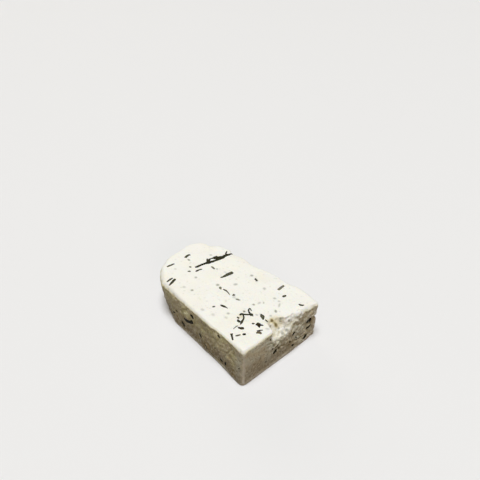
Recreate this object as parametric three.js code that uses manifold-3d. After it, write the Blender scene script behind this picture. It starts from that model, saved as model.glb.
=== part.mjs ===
// A block of white brined cheese with chopped herbs, cut from a longer moulded piece.
// Millimetres, +Z up. +X points to the crumbly cut end, -Y to the straight long side.
// The origin lies under the middle of the block, on the flat face that it rests on.
import * as THREE from 'three';
import { mergeVertices } from 'three/addons/utils/BufferGeometryUtils.js';
import Module from 'manifold-3d';

// Driving dimensions of the block
const HEIGHT = 30.4;
const CUT_END_X = 58.2;
const STRAIGHT_SIDE_Y = -35.1;
const FRONT_CORNER_RADIUS = 2.2;

// Edges: the cut ones are crisp, the moulded far end is soft, and so are the far stretch of the
// straight side's top edge and the back corner of the cut end. The front corner's tip is worn
const CUT_EDGE_RADIUS = 1.8;
const MOULDED_EDGE_RADIUS = 3.6;
const MOULDED_FROM_X = [-18, -50];
const SOFT_SIDE_EDGE = 2.4;
const SOFT_SIDE_X = [34, -40];
const SOFT_SIDE_Y = [-10, -30];
const SOFT_CORNER_EDGE = 1.4;
const SOFT_CORNER_X = [40, 54];
const SOFT_CORNER_Y = [18, 26];
const WORN_TIP_EDGE = 1.2;
const WORN_TIP_X = [52, 57];
const WORN_TIP_Y = [-29, -34];
const BASE_EDGE_RADIUS = 1.2;
const BASE_EDGE_CUT = 0.3;
const SMOOTH_BASE_Z = 4;

// The cut end swells a little between its corners: how much, and where across the block
const CUT_END_SWELL = 0.8;
const CUT_END_SWELL_Y = [-32, -10, 6, 22];
const CUT_END_X_BLEND = [50, 57];

// The moulded end leans in towards the base, the straight side flares a little there
const FAR_END_LEAN = 5.0;
const FAR_LEAN_X = [-16, -40];
const STRAIGHT_SIDE_FLARE = 1.0;
const FLARE_X = [28, 56];
const FLARE_Y = [-10, -30];

// Plan of the block past the flat of its cut end: the back corner, the wavy long side, and the
// round moulded end that runs back into the straight side
const BACK_CORNER = [[58.7, 24], [59.7, 30.8], [60, 32.9], [59, 34.3], [55.9, 35.3]];
const WAVY_SIDE = [
  [48.4, 35.8], [39.4, 35], [33.4, 33.4], [25.4, 33.3], [17.4, 33.3], [10.4, 31.9], [3.4, 29.8],
  [-3.6, 28.8], [-11.6, 29.7], [-17.6, 29.1], [-23.6, 27.1], [-29.6, 29], [-36.6, 28.2],
];
const MOULDED_END = [
  [-42.1, 26.7], [-45.9, 21.4], [-50.3, 20.9], [-55.6, 18.2], [-59.4, 11.9], [-60.1, 6],
  [-58.7, -0.3], [-56, -14.8], [-50.4, -24.5], [-41.1, -31.6], [-33, STRAIGHT_SIDE_Y],
];
const CUT_END_FLAT_Y = 14;

// Broken top edge of the cut end: across the block (Y), how far back the break starts on the
// top (X), and how low it reaches on the end face (Z). Its near side leans, and its rim is soft there
const BREAK_Y = [-8.6, -7.2, -5.8, -2.4, 0.6, 3.6, 5, 6.6, 10, 13.4, 16.6, 19.2, 21.2];
const BREAK_TOP_X = [60, 54, 50.4, 48.6, 49, 50.8, 52.8, 54, 54.6, 54.4, 52.8, 53.8, 60];
const BREAK_LOW_Z = [28, 22.4, 21.4, 21, 21, 21, 21.6, 24, 25.8, 26.2, 26, 26.6, 29.6];
const BREAK_SCOOP = 0.06;
const BREAK_FROM_X = 40;
const BREAK_PAST_END = 0.4;
const BREAK_SHORTEST_RUN = 0.1;
const BREAK_LEAN = 0.33;
const BREAK_LEAN_Y = [2, -6];
const BREAK_SOFT_RADIUS = 2.6;
const BREAK_CRISP_RADIUS = 0.5;
const BREAK_SOFT_Y = [4, -3];
const BREAK_CRAG = 0.6;
const BREAK_CRAG_CELL = 5.2;
const BREAK_CRAG_MEAN = 0.35;

// A pebble of curd that stays standing in the break
const PEBBLE = { x: 53.9, y: 17, z: 28.2, radiusX: 4, radiusY: 3.8, radiusZ: 3 };

// A ledge and a groove run round the back corner of the cut end at mid height
const LEDGE_Z = 18.4;
const LEDGE_STEP = 0.9;
const LEDGE_X = [5, 42];
const LEDGE_Y = [20, 30];
const LEDGE_FADE_Z = [LEDGE_Z + 1.6, LEDGE_Z - 1.2];
const GROOVE_DEPTH = 1.6;
const GROOVE_HALF_HEIGHT = 2.4;
const GROOVE_X = [34, 50];
const GROOVE_Y = [19, 34];

// The back corner leans in towards the base and is a little hollow above the groove. The cut end
// leans back a little above it
const CORNER_LEAN = 1.4;
const CORNER_LEAN_Y = [24, 34];
const CORNER_HOLLOW = 0.7;
const CORNER_HOLLOW_TOP_Z = [29.5, 21];
const CORNER_HOLLOW_LOW_Z = [15.5, 18];
const CORNER_HOLLOW_Y = [27, 34];
const CORNER_X = [34, 50];
const END_TOP_LEAN = 0.7;
const END_TOP_Z = [17, HEIGHT];
const END_TOP_Y = [12, 20, 27, 34];

// At the front corner the top stands out past the base on the cut end, and in on the straight side
const FRONT_TOP_OUT = 2.0;
const FRONT_TOP_Z = [2, 28];
const FRONT_TOP_Y = [-8, -26];
const FRONT_TOP_X = [50, 55];
const FRONT_TOP_PAST_CORNER = [-1.5, 3];
const SIDE_TOP_IN = 0.7;
const SIDE_TOP_Z = [10, 28];
const SIDE_TOP_X = [22, 38];
const SIDE_TOP_Y = [-10, -30];

// Curd lumps: how high they stand on each kind of face, and their sizes
const LUMP_CELL = 6.5;
const LUMP_MEAN = 0.4;
const LUMP_STEEPNESS = 1.6;
const LUMP_DOME = 0.5;
const CUT_FACE_LUMP = 0.6;
const CUT_FACE_X = [50, 55];
const SMOOTH_CUT_FACE_LUMP = 0.15;
const SMOOTH_CUT_FACE_Y = [-18, -6];
const SIDE_LUMP = 0.45;
const TOP_LUMP = 0.12;
const TOP_FROM_Z = [HEIGHT - 2.5, HEIGHT - 0.5];

// Long low swells that run over all the faces
const SWELL = 0.3;
const SWELL_LENGTH = 34;
const SWELL_ACROSS = 1.3;
const SWELL_START_X = 1.1;
const SWELL_START_Y = 0.4;

// Lumps that stand out on the straight side: X, Z, radius, height
const SIDE_BUMPS_BELOW_Y = -25;
const SIDE_BUMPS = [
  [-1, 19, 6, 0.7],
  [45, 14, 5, 0.35],
  [20, 12, 8, 0.4],
  [-17, 21, 7, 0.4],
];

// Herbs: how far a piece stands proud of the cheese and how far it is sunk in
const HERB_PROUD = 0.35;
const HERB_SUNK = 1.7;

// Outlines of a long and of a short herb piece: along it in half lengths, across in half widths
const LONG_HERB = 3.4;
const LONG_HERB_OUTLINE = [[-1, -0.7], [0, -1.05], [1, -0.7], [0.9, 0.7], [0, 0.95], [-0.95, 0.7]];
const SHORT_HERB_OUTLINE = [[-1, -0.3], [-0.2, -1], [1, -0.6], [0.8, 0.6], [-0.3, 1]];

// Subdivision of the block's surface
const STEPS_X = 42;
const STEPS_Y = 28;
const STEPS_Z = 12;
const STEP_BIAS_X = 0.42;
const STEP_BIAS_Y = 0.05;
const STEP_BIAS_Z = 0.3;
const FINE_STEPS_AT_Y = 0.6;
const OUTLINE_STEPS = 220;
const SPINE_HALF_X = 32;
const SPINE_HALF_Y = 10;
const SPINE_Z = 15;
const SEARCH_REACH = 60;
const SEARCH_STEPS = 40;
const SEARCH_HALVINGS = 18;

// Herb pieces on each face: start, end, width, in that face's own two directions
const TOP_HERBS = [
  [-29.9, -5.9, -28.8, 1.8, 1.8], [-28.8, 1, -26.9, 6.3, 2.4], [-26.9, 5.3, -25.9, 13.3, 2.2],
  [-26.4, 11.3, -26.8, 20.4, 3.2], [-26.9, 19.4, -24.6, 27.4, 2.4], [-31.2, 7.1, -27.8, 5.8, 2],
  [-30.2, 15.3, -29.2, 8.9, 2.2], [-30.4, 25.4, -28.2, 22.4, 1.2], [-46.4, 0.5, -45.1, -4.5, 2.2],
  [-44.8, -14.8, -45, -21.2, 2.2], [-30.2, -26.2, -29.7, -31.2, 1.7],
  [-27.9, -25.4, -24.4, -32, 2.2], [-24.6, -3.9, -25.2, -8.1, 1.8], [-33.4, -7.7, -31.9, -9.2, 1.4],
  [-28.8, -11.7, -28.4, -13.2, 1.6], [-5.5, 11.3, -6.8, 0.5, 3.2], [-22.4, 3.9, -18.2, 3.4, 1.4],
  [1.1, -6.2, 3.5, -7.1, 1.6], [4.7, -5.5, 10.4, -6.7, 1.3], [14.2, -4.7, 15.6, -5.2, 1.8],
  [10.8, 19.2, 14.4, 17.4, 1.6], [15.8, -17.8, 21.2, -16.2, 2.2], [14.2, -21.8, 15.4, -23, 2],
  [30.8, 28.6, 31.8, 22, 2.4], [38.9, 22.4, 39, 19.2, 2], [51.7, 21.8, 54.9, 23.6, 2],
  [31.4, -5.2, 33.7, -7.7, 1.2], [33.2, -7.5, 39.1, -8.7, 2], [37.1, -8.7, 34.7, -12.1, 1.2],
  [34.7, -11.7, 38.1, -16.2, 1.3], [37.9, -15.8, 40.5, -20.6, 1.4], [32.9, -12.1, 33.5, -15.1, 2],
  [33.9, -16.8, 38.5, -19.2, 2], [39.7, -21.8, 39.9, -25, 1.4], [41.2, -22, 44.5, -21.2, 2.8],
  [47.5, -23, 48.7, -23.8, 2.2], [46.4, -26.4, 45.5, -29, 1.7], [41.7, -29.4, 47.2, -32, 1.9],
  [44.1, -13.2, 45.5, -13.7, 2], [41.4, -3.4, 46.1, -6.2, 3], [46.7, -11.1, 49.9, -12.2, 3.2],
  [51.5, -14.1, 54.1, -15.8, 3],
];
const CUT_END_HERBS = [
  [-9.1, 10.6, -4.9, 10.4, 1.9], [-8.8, 15.8, -8.2, 13.8, 1.7], [10.2, 14.4, 11.8, 16.4, 2],
  [9.5, 4.6, 11.5, 4.9, 2], [20.6, 4, 24.8, 4.7, 2.1], [23.6, 16.6, 28.8, 17.6, 2.4],
  [23.4, 11.4, 26.4, 11.6, 1.8], [-10.1, 25.6, -9.8, 23.2, 1.4],
];
const STRAIGHT_SIDE_HERBS = [
  [-5, 12.2, 6.2, 18.3, 2.4], [4.9, 22.2, 7, 23.4, 2.4], [-9, 9, -5.5, 5.8, 2.4],
  [12.8, 10, 15.2, 11.6, 2.2], [19.2, 5.8, 21.1, 6.4, 2], [34.7, 5.2, 38.9, 6, 2],
  [41.7, 8.6, 42.2, 6, 1.7], [34.7, 25.4, 36.7, 26.2, 1.6], [-19.8, 8.8, -17.9, 10, 1.8],
  [-15.6, 12.6, -14.2, 14.2, 1.6],
];

// Herbs on the faces turned away: how many on each face and where, in that face's own two
// directions, and the size range that they are drawn from
const HIDDEN_HERB_SEED = 41;
const HIDDEN_HERB_LENGTH = [1.8, 6.5];
const HIDDEN_HERB_WIDTH = [1.5, 2.5];
const HIDDEN_HERB_EDGE = 0.2;
const WAVY_SIDE_HERBS = { count: 14, salt: 5, u: [-52, 34], v: [5, 24] };
const MOULDED_END_HERBS = { count: 6, salt: 9, u: [-14, 20], v: [7, 22] };

// Salts of the repeatable draws for the curd lumps and the crags
const LUMP_SALT = 3;
const CRAG_SALT = 11;

// A slab below the resting plane, to be cut away
const SLAB = { x: 200, y: 150, z: 20 };

const clamp = THREE.MathUtils.clamp;
const lerp = THREE.MathUtils.lerp;

function ease(from, to, value) {
  const t = clamp((value - from) / (to - from), 0, 1);
  return t * t * (3 - 2 * t);
}

// Linear reading of a pair of lists
function readOff(keys, values, key) {
  if (key <= keys[0]) return values[0];
  for (let i = 1; i < keys.length; i += 1) {
    if (key <= keys[i]) {
      const t = (key - keys[i - 1]) / (keys[i] - keys[i - 1]);
      return lerp(values[i - 1], values[i], t);
    }
  }
  return values[values.length - 1];
}

// A repeatable number from 0 to 1 for each whole-number place
function scatter(i, j, k, salt) {
  let h = Math.imul(i, 374761393) ^ Math.imul(j, 668265263);
  h ^= Math.imul(k, 1274126177) ^ Math.imul(salt, 974634777);
  h = Math.imul(h ^ (h >>> 15), 2246822519);
  h = Math.imul(h ^ (h >>> 13), 3266489917);
  return ((h ^ (h >>> 16)) >>> 0) / 4294967296;
}

// Curds packed together: 1 at the middle of a lump, falling to 0 in the seams between lumps
function curds(x, y, z, cell, salt) {
  const i0 = Math.floor(x / cell);
  const j0 = Math.floor(y / cell);
  const k0 = Math.floor(z / cell);
  let nearest = Infinity;
  let second = Infinity;
  for (let i = i0 - 1; i <= i0 + 1; i += 1) {
    for (let j = j0 - 1; j <= j0 + 1; j += 1) {
      for (let k = k0 - 1; k <= k0 + 1; k += 1) {
        const dx = x / cell - i - scatter(i, j, k, salt);
        const dy = y / cell - j - scatter(i, j, k, salt + 1);
        const dz = z / cell - k - scatter(i, j, k, salt + 2);
        const d = Math.sqrt(dx * dx + dy * dy + dz * dz);
        second = Math.min(second, Math.max(d, nearest));
        nearest = Math.min(nearest, d);
      }
    }
  }
  return clamp((second - nearest) * LUMP_STEEPNESS, 0, 1) * (1 - LUMP_DOME * nearest);
}

// The block's plan as one closed line
function planOutline() {
  const plan = new THREE.Shape();
  const front = FRONT_CORNER_RADIUS;
  const rest = BACK_CORNER.concat(WAVY_SIDE, MOULDED_END);
  plan.moveTo(MOULDED_END[MOULDED_END.length - 1][0], STRAIGHT_SIDE_Y);
  plan.lineTo(CUT_END_X - front, STRAIGHT_SIDE_Y);
  plan.absarc(CUT_END_X - front, STRAIGHT_SIDE_Y + front, front, -Math.PI / 2, 0);
  plan.lineTo(CUT_END_X, CUT_END_FLAT_Y);
  plan.splineThru(rest.map(([x, y]) => new THREE.Vector2(x, y)));
  return plan.getSpacedPoints(OUTLINE_STEPS);
}

const outline = planOutline();

// Signed distance to the plan's outline, negative inside
function planDistance(x, y) {
  let best = Infinity;
  let inside = false;
  for (let i = 0, j = outline.length - 1; i < outline.length; j = i, i += 1) {
    const a = outline[j];
    const b = outline[i];
    const ex = b.x - a.x;
    const ey = b.y - a.y;
    const wx = x - a.x;
    const wy = y - a.y;
    const length2 = ex * ex + ey * ey;
    if (length2 === 0) continue;
    const t = clamp((wx * ex + wy * ey) / length2, 0, 1);
    best = Math.min(best, (wx - ex * t) ** 2 + (wy - ey * t) ** 2);
    if (a.y > y !== b.y > y && x < a.x + (ex * (y - a.y)) / ey) inside = !inside;
  }
  return (inside ? -1 : 1) * Math.sqrt(best);
}

// Two half spaces met in a rounded edge
function roundedEdge(a, b, radius) {
  const u = a + radius;
  const v = b + radius;
  return Math.min(Math.max(u, v), 0) + Math.hypot(Math.max(u, 0), Math.max(v, 0)) - radius;
}

// 1 between the two middle values, falling to 0 at the outer ones
function bandOf(value, [low, lowFull, highFull, high]) {
  return ease(low, lowFull, value) * ease(high, highFull, value);
}

// How far in the wall stands at this place, against the plan
function wallInset(x, y, z) {
  const down = 1 - z / HEIGHT;
  const lean = FAR_END_LEAN * ease(...FAR_LEAN_X, x) * down;
  const flare = STRAIGHT_SIDE_FLARE * down * ease(...FLARE_Y, y) * ease(...FLARE_X, x);
  const ledge = LEDGE_STEP * ease(...LEDGE_FADE_Z, z) * ease(...LEDGE_X, x) * ease(...LEDGE_Y, y);
  const groove = GROOVE_DEPTH * Math.max(0, 1 - Math.abs(z - LEDGE_Z) / GROOVE_HALF_HEIGHT)
    * ease(...GROOVE_Y, y) * ease(...GROOVE_X, x);
  const hollow = CORNER_HOLLOW * ease(...CORNER_HOLLOW_TOP_Z, z) * ease(...CORNER_HOLLOW_LOW_Z, z)
    * ease(...CORNER_HOLLOW_Y, y);
  const corner = (CORNER_LEAN * down * ease(...CORNER_LEAN_Y, y) + hollow) * ease(...CORNER_X, x);
  const swell = CUT_END_SWELL * bandOf(y, CUT_END_SWELL_Y) * ease(...CUT_END_X_BLEND, x);
  const endTop = END_TOP_LEAN * ease(...END_TOP_Z, z) * bandOf(y, END_TOP_Y) * ease(...CUT_END_X_BLEND, x);
  const pastCorner = x - CUT_END_X + y - STRAIGHT_SIDE_Y;
  const front = FRONT_TOP_OUT * ease(...FRONT_TOP_Z, z) * ease(...FRONT_TOP_Y, y) * ease(...FRONT_TOP_X, x)
    * ease(...FRONT_TOP_PAST_CORNER, pastCorner);
  const side = SIDE_TOP_IN * ease(...SIDE_TOP_Z, z) * ease(...SIDE_TOP_X, x) * ease(...SIDE_TOP_Y, y);
  return lean - flare + ledge + groove + corner - swell + endTop - front + side;
}

// Height of the curd lumps and swells at this place
function relief(x, y, z) {
  const onTop = ease(...TOP_FROM_Z, z);
  const onCutFace = ease(...CUT_FACE_X, x) * (1 - onTop);
  const cutFaceLump = lerp(SMOOTH_CUT_FACE_LUMP, CUT_FACE_LUMP, ease(...SMOOTH_CUT_FACE_Y, y));
  const lump = lerp(lerp(SIDE_LUMP, TOP_LUMP, onTop), cutFaceLump, onCutFace);
  let height = lump * (curds(x, y, z, LUMP_CELL, LUMP_SALT) - LUMP_MEAN);
  const turn = (2 * Math.PI) / SWELL_LENGTH;
  height += SWELL * Math.sin(turn * x + SWELL_START_X)
    * Math.sin(turn * SWELL_ACROSS * y + turn * z + SWELL_START_Y);
  if (y < SIDE_BUMPS_BELOW_Y) {
    for (const [bumpX, bumpZ, radius, rise] of SIDE_BUMPS) {
      const d = Math.hypot(x - bumpX, z - bumpZ) / radius;
      height += rise * ease(1, 0, d);
    }
  }
  return height;
}

// The break along the top edge of the cut end: positive where the cheese has come away
function brokenEdge(x, y, z) {
  const across = y + BREAK_LEAN * (HEIGHT - z) * ease(...BREAK_LEAN_Y, y);
  const backX = readOff(BREAK_Y, BREAK_TOP_X, across);
  const lowZ = readOff(BREAK_Y, BREAK_LOW_Z, across);
  const run = Math.max(CUT_END_X + BREAK_PAST_END - backX, BREAK_SHORTEST_RUN);
  const fall = HEIGHT - lowZ;
  const slope = Math.hypot(run, fall);
  const down = clamp(((x - backX) * run - (z - HEIGHT) * fall) / slope ** 2, 0, 1);
  const scoop = 4 * BREAK_SCOOP * slope * down * (1 - down);
  const cut = ((x - backX) * fall + (z - HEIGHT) * run) / slope + scoop;
  return cut - BREAK_CRAG * (curds(x, y, z, BREAK_CRAG_CELL, CRAG_SALT) - BREAK_CRAG_MEAN);
}

function pebble(x, y, z) {
  const u = (x - PEBBLE.x) / PEBBLE.radiusX;
  const v = (y - PEBBLE.y) / PEBBLE.radiusY;
  const w = (z - PEBBLE.z) / PEBBLE.radiusZ;
  return (Math.hypot(u, v, w) - 1) * Math.min(PEBBLE.radiusX, PEBBLE.radiusY, PEBBLE.radiusZ);
}

// The whole block as a signed distance, negative inside the cheese
function cheese(x, y, z) {
  const topRadius = lerp(CUT_EDGE_RADIUS, MOULDED_EDGE_RADIUS, ease(...MOULDED_FROM_X, x))
    + SOFT_SIDE_EDGE * ease(...SOFT_SIDE_X, x) * ease(...SOFT_SIDE_Y, y)
    + SOFT_CORNER_EDGE * ease(...SOFT_CORNER_X, x) * ease(...SOFT_CORNER_Y, y)
    + WORN_TIP_EDGE * ease(...WORN_TIP_X, x) * ease(...WORN_TIP_Y, y);
  const wall = planDistance(x, y) + wallInset(x, y, z);
  const body = roundedEdge(wall, z - HEIGHT, topRadius);
  const based = roundedEdge(body, -BASE_EDGE_CUT - z, BASE_EDGE_RADIUS);
  const surface = based - relief(x, y, z) * ease(0, SMOOTH_BASE_Z, z);
  if (x < BREAK_FROM_X) return surface;
  const rim = lerp(BREAK_CRISP_RADIUS, BREAK_SOFT_RADIUS, ease(...BREAK_SOFT_Y, y));
  return roundedEdge(surface, Math.min(brokenEdge(x, y, z), pebble(x, y, z)), rim);
}

// First place along a ray, from inside, where the cheese ends
function surfaceAlong(from, direction) {
  const at = (t) => {
    const x = from.x + direction.x * t;
    const y = from.y + direction.y * t;
    const z = from.z + direction.z * t;
    return cheese(x, y, z);
  };
  const step = SEARCH_REACH / SEARCH_STEPS;
  let near = 0;
  while (near < SEARCH_REACH && at(near + step) < 0) near += step;
  let far = near + step;
  for (let i = 0; i < SEARCH_HALVINGS; i += 1) {
    const middle = (near + far) / 2;
    if (at(middle) < 0) near = middle;
    else far = middle;
  }
  return from.clone().addScaledVector(direction, (near + far) / 2);
}

// A finely divided box, each vertex moved out from the block's spine to the cheese's surface
function blockGeometry() {
  const length = 2 * CUT_END_X;
  const width = -2 * STRAIGHT_SIDE_Y;
  const box = new THREE.BoxGeometry(length, width, HEIGHT, STEPS_X, STEPS_Y, STEPS_Z);
  box.deleteAttribute('normal');
  box.deleteAttribute('uv');
  const geometry = mergeVertices(box);
  const position = geometry.attributes.position;
  const vertex = new THREE.Vector3();
  for (let i = 0; i < position.count; i += 1) {
    vertex.fromBufferAttribute(position, i);
    const along = vertex.x / length + 0.5;
    const across = vertex.y / width + 0.5;
    const up = vertex.z / HEIGHT + 0.5;
    const wave = Math.sin(2 * Math.PI * (across - FINE_STEPS_AT_Y));
    const waveStart = Math.sin(-2 * Math.PI * FINE_STEPS_AT_Y);
    vertex.x = length * (along + STEP_BIAS_X * along * (1 - along) - 0.5);
    vertex.y = width * (across - STEP_BIAS_Y * (wave - waveStart) - 0.5);
    vertex.z = HEIGHT * (up + STEP_BIAS_Z * up * (1 - up));
    const spine = new THREE.Vector3(
      clamp(vertex.x, -SPINE_HALF_X, SPINE_HALF_X),
      clamp(vertex.y, -SPINE_HALF_Y, SPINE_HALF_Y),
      SPINE_Z,
    );
    const direction = vertex.clone().sub(spine).normalize();
    const point = surfaceAlong(spine, direction);
    position.setXYZ(i, point.x, point.y, point.z);
  }
  return geometry;
}

// The five faces that carry herbs: where their two directions and their outward direction point
const faces = {
  top: { u: [1, 0, 0], v: [0, 1, 0], out: [0, 0, 1], from: [0, 0, 20] },
  cutEnd: { u: [0, 1, 0], v: [0, 0, 1], out: [1, 0, 0], from: [40, 0, 0] },
  straightSide: { u: [1, 0, 0], v: [0, 0, 1], out: [0, -1, 0], from: [0, -15, 0] },
  wavySide: { u: [-1, 0, 0], v: [0, 0, 1], out: [0, 1, 0], from: [0, 10, 0] },
  mouldedEnd: { u: [0, -1, 0], v: [0, 0, 1], out: [-1, 0, 0], from: [-30, 0, 0] },
};

// One flat piece of herb that follows the face it is pressed into
function herbGeometry(face, [u0, v0, u1, v1, width]) {
  const centre = new THREE.Vector2((u0 + u1) / 2, (v0 + v1) / 2);
  const along = new THREE.Vector2(u1 - u0, v1 - v0);
  const half = Math.max(along.length() / 2, width / 2);
  along.normalize();
  const across = new THREE.Vector2(-along.y, along.x).multiplyScalar(width / 2);
  const corners = 2 * half > LONG_HERB ? LONG_HERB_OUTLINE : SHORT_HERB_OUTLINE;
  const shape = new THREE.Shape(corners.map(([a, b]) => new THREE.Vector2(
    centre.x + along.x * a * half + across.x * b,
    centre.y + along.y * a * half + across.y * b,
  )));
  const solid = new THREE.ExtrudeGeometry(shape, { depth: 1, bevelEnabled: false, steps: 1 });
  solid.deleteAttribute('normal');
  solid.deleteAttribute('uv');
  const geometry = mergeVertices(solid);
  const position = geometry.attributes.position;
  const uAxis = new THREE.Vector3(...face.u);
  const vAxis = new THREE.Vector3(...face.v);
  const out = new THREE.Vector3(...face.out);
  for (let i = 0; i < position.count; i += 1) {
    const from = new THREE.Vector3(...face.from);
    from.addScaledVector(uAxis, position.getX(i)).addScaledVector(vAxis, position.getY(i));
    const point = surfaceAlong(from, out);
    point.addScaledVector(out, position.getZ(i) > 0.5 ? HERB_PROUD : -HERB_SUNK);
    position.setXYZ(i, point.x, point.y, point.z);
  }
  return geometry;
}

// Herbs spread over a hidden face by a seeded draw
function hiddenHerbs({ count, salt, u: uRange, v: vRange }) {
  const herbs = [];
  for (let i = 0; i < count; i += 1) {
    const draw = (k) => scatter(i, k, HIDDEN_HERB_SEED, salt);
    const length = lerp(...HIDDEN_HERB_LENGTH, draw(2) ** 2);
    const angle = Math.PI * draw(3);
    const place = lerp(HIDDEN_HERB_EDGE, 1 - HIDDEN_HERB_EDGE, draw(0));
    const u = lerp(...uRange, (i + place) / count);
    const v = lerp(...vRange, draw(1));
    const du = (Math.cos(angle) * length) / 2;
    const dv = (Math.sin(angle) * length) / 2;
    herbs.push([u - du, v - dv, u + du, v + dv, lerp(...HIDDEN_HERB_WIDTH, draw(4))]);
  }
  return herbs;
}

const wasm = await Module();
wasm.setup();

function toManifold(geometry) {
  const mesh = new wasm.Mesh({
    numProp: 3,
    vertProperties: new Float32Array(geometry.attributes.position.array),
    triVerts: new Uint32Array(geometry.index.array),
  });
  return new wasm.Manifold(mesh);
}

function toGeometry(manifold) {
  const mesh = manifold.getMesh();
  const geometry = new THREE.BufferGeometry();
  geometry.setAttribute('position', new THREE.BufferAttribute(new Float32Array(mesh.vertProperties), 3));
  geometry.setIndex(new THREE.BufferAttribute(new Uint32Array(mesh.triVerts), 1));
  geometry.computeVertexNormals();
  return geometry;
}

function underTheBase() {
  const slab = new THREE.BoxGeometry(SLAB.x, SLAB.y, SLAB.z);
  slab.deleteAttribute('normal');
  slab.deleteAttribute('uv');
  slab.translate(0, 0, -SLAB.z / 2);
  return mergeVertices(slab);
}

function buildCheese() {
  let solid = toManifold(blockGeometry());
  const placed = [
    [faces.top, TOP_HERBS],
    [faces.cutEnd, CUT_END_HERBS],
    [faces.straightSide, STRAIGHT_SIDE_HERBS],
    [faces.wavySide, hiddenHerbs(WAVY_SIDE_HERBS)],
    [faces.mouldedEnd, hiddenHerbs(MOULDED_END_HERBS)],
  ];
  for (const [face, herbs] of placed) {
    for (const herb of herbs) {
      solid = solid.add(toManifold(herbGeometry(face, herb)));
    }
  }
  solid = solid.subtract(toManifold(underTheBase()));
  const geometry = toGeometry(solid);
  geometry.computeBoundingBox();
  const middle = geometry.boundingBox.getCenter(new THREE.Vector3());
  geometry.translate(-middle.x, -middle.y, 0);
  return geometry;
}

const cheeseMaterial = new THREE.MeshStandardMaterial({ color: 0xf3f1e8, roughness: 0.55, metalness: 0 });
const block = new THREE.Mesh(buildCheese(), cheeseMaterial);
block.name = 'cheese_block';

const part = new THREE.Group();
part.add(block);

export default part;
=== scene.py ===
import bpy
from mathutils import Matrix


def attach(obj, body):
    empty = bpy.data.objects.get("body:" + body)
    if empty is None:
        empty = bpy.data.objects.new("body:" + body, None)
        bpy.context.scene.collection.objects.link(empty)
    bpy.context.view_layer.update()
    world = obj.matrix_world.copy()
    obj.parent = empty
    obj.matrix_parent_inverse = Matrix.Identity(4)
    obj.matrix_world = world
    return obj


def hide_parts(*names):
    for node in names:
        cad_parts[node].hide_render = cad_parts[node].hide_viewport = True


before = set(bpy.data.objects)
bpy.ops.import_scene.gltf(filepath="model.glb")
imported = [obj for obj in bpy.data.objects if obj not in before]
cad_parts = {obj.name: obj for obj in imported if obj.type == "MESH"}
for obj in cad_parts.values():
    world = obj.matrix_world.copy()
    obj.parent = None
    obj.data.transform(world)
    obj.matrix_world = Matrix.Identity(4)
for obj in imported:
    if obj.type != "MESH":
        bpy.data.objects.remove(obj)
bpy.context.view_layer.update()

import math
import bpy
import numpy as np
from mathutils import Matrix, Vector
from mathutils.bvhtree import BVHTree

# The block of cheese: one piece of brined white curd, cut flat on top, at one long side and at
# one end. The other long side is wavy, the far end keeps the round of its mould, and the top
# edge of the cut end has crumbled away. Everything here is in millimetres until the mesh is made.
HEIGHT = 30.4
CUT_END_X = 58.2
STRAIGHT_SIDE_Y = -35.1
FRONT_CORNER_RADIUS = 2.2
CUT_END_FLAT_Y = 14
BACK_CORNER = [(58.7, 24), (59.7, 30.8), (60, 32.9), (59, 34.3), (55.9, 35.3)]
WAVY_SIDE = [
    (48.4, 35.8), (39.4, 35), (33.4, 33.4), (25.4, 33.3), (17.4, 33.3), (10.4, 31.9), (3.4, 29.8),
    (-3.6, 28.8), (-11.6, 29.7), (-17.6, 29.1), (-23.6, 27.1), (-29.6, 29), (-36.6, 28.2),
]
MOULDED_END = [
    (-42.1, 26.7), (-45.9, 21.4), (-50.3, 20.9), (-55.6, 18.2), (-59.4, 11.9), (-60.1, 6),
    (-58.7, -0.3), (-56, -14.8), (-50.4, -24.5), (-41.1, -31.6), (-33, STRAIGHT_SIDE_Y),
]
OUTLINE_STEPS = 6

# Rounding of the edges, and where it changes along them
CUT_EDGE_RADIUS = 1.8
MOULDED_EDGE_RADIUS = 3.6
MOULDED_FROM_X = (-18, -50)
SOFT_SIDE_EDGE = 2.4
SOFT_SIDE_X = (34, -40)
SOFT_CORNER_EDGE = 1.4
SOFT_CORNER_X = (40, 54)
SOFT_CORNER_Y = (18, 26)
WORN_TIP_EDGE = 1.2
WORN_TIP_X = (52, 57)
WORN_TIP_Y = (-29, -34)
BASE_EDGE_RADIUS = 1.2
BASE_EDGE_CUT = 0.3

# How the walls lean, swell and step against the plan, and where
CUT_END_SWELL = 0.8
CUT_END_SWELL_Y = (-32, -10, 6, 22)
CUT_END_X_BLEND = (50, 57)
FAR_END_LEAN = 5.0
FAR_LEAN_X = (-16, -40)
STRAIGHT_SIDE_BLEND_Y = (-10, -30)
STRAIGHT_SIDE_FLARE = 1.0
FLARE_X = (28, 56)
LEDGE_Z = 18.4
LEDGE_STEP = 0.9
LEDGE_FADE_Z = (LEDGE_Z + 1.6, LEDGE_Z - 1.2)
LEDGE_X = (5, 42)
LEDGE_Y = (20, 30)
GROOVE_DEPTH = 1.6
GROOVE_HALF_HEIGHT = 2.4
GROOVE_Y = (19, 34)
CORNER_X = (34, 50)
CORNER_LEAN = 1.4
CORNER_LEAN_Y = (24, 34)
CORNER_HOLLOW = 0.7
CORNER_HOLLOW_TOP_Z = (29.5, 21)
CORNER_HOLLOW_LOW_Z = (15.5, 18)
CORNER_HOLLOW_Y = (27, 34)
END_TOP_LEAN = 0.7
END_TOP_Z = (17, HEIGHT)
END_TOP_Y = (12, 20, 27, 34)
FRONT_TOP_OUT = 2.0
FRONT_TOP_X = (50, 55)
FRONT_TOP_Y = (-8, -26)
FRONT_TOP_Z = (2, 28)
FRONT_TOP_PAST_CORNER = (-1.5, 3)
SIDE_TOP_IN = 0.7
SIDE_TOP_X = (22, 38)
SIDE_TOP_Z = (10, 28)

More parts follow.
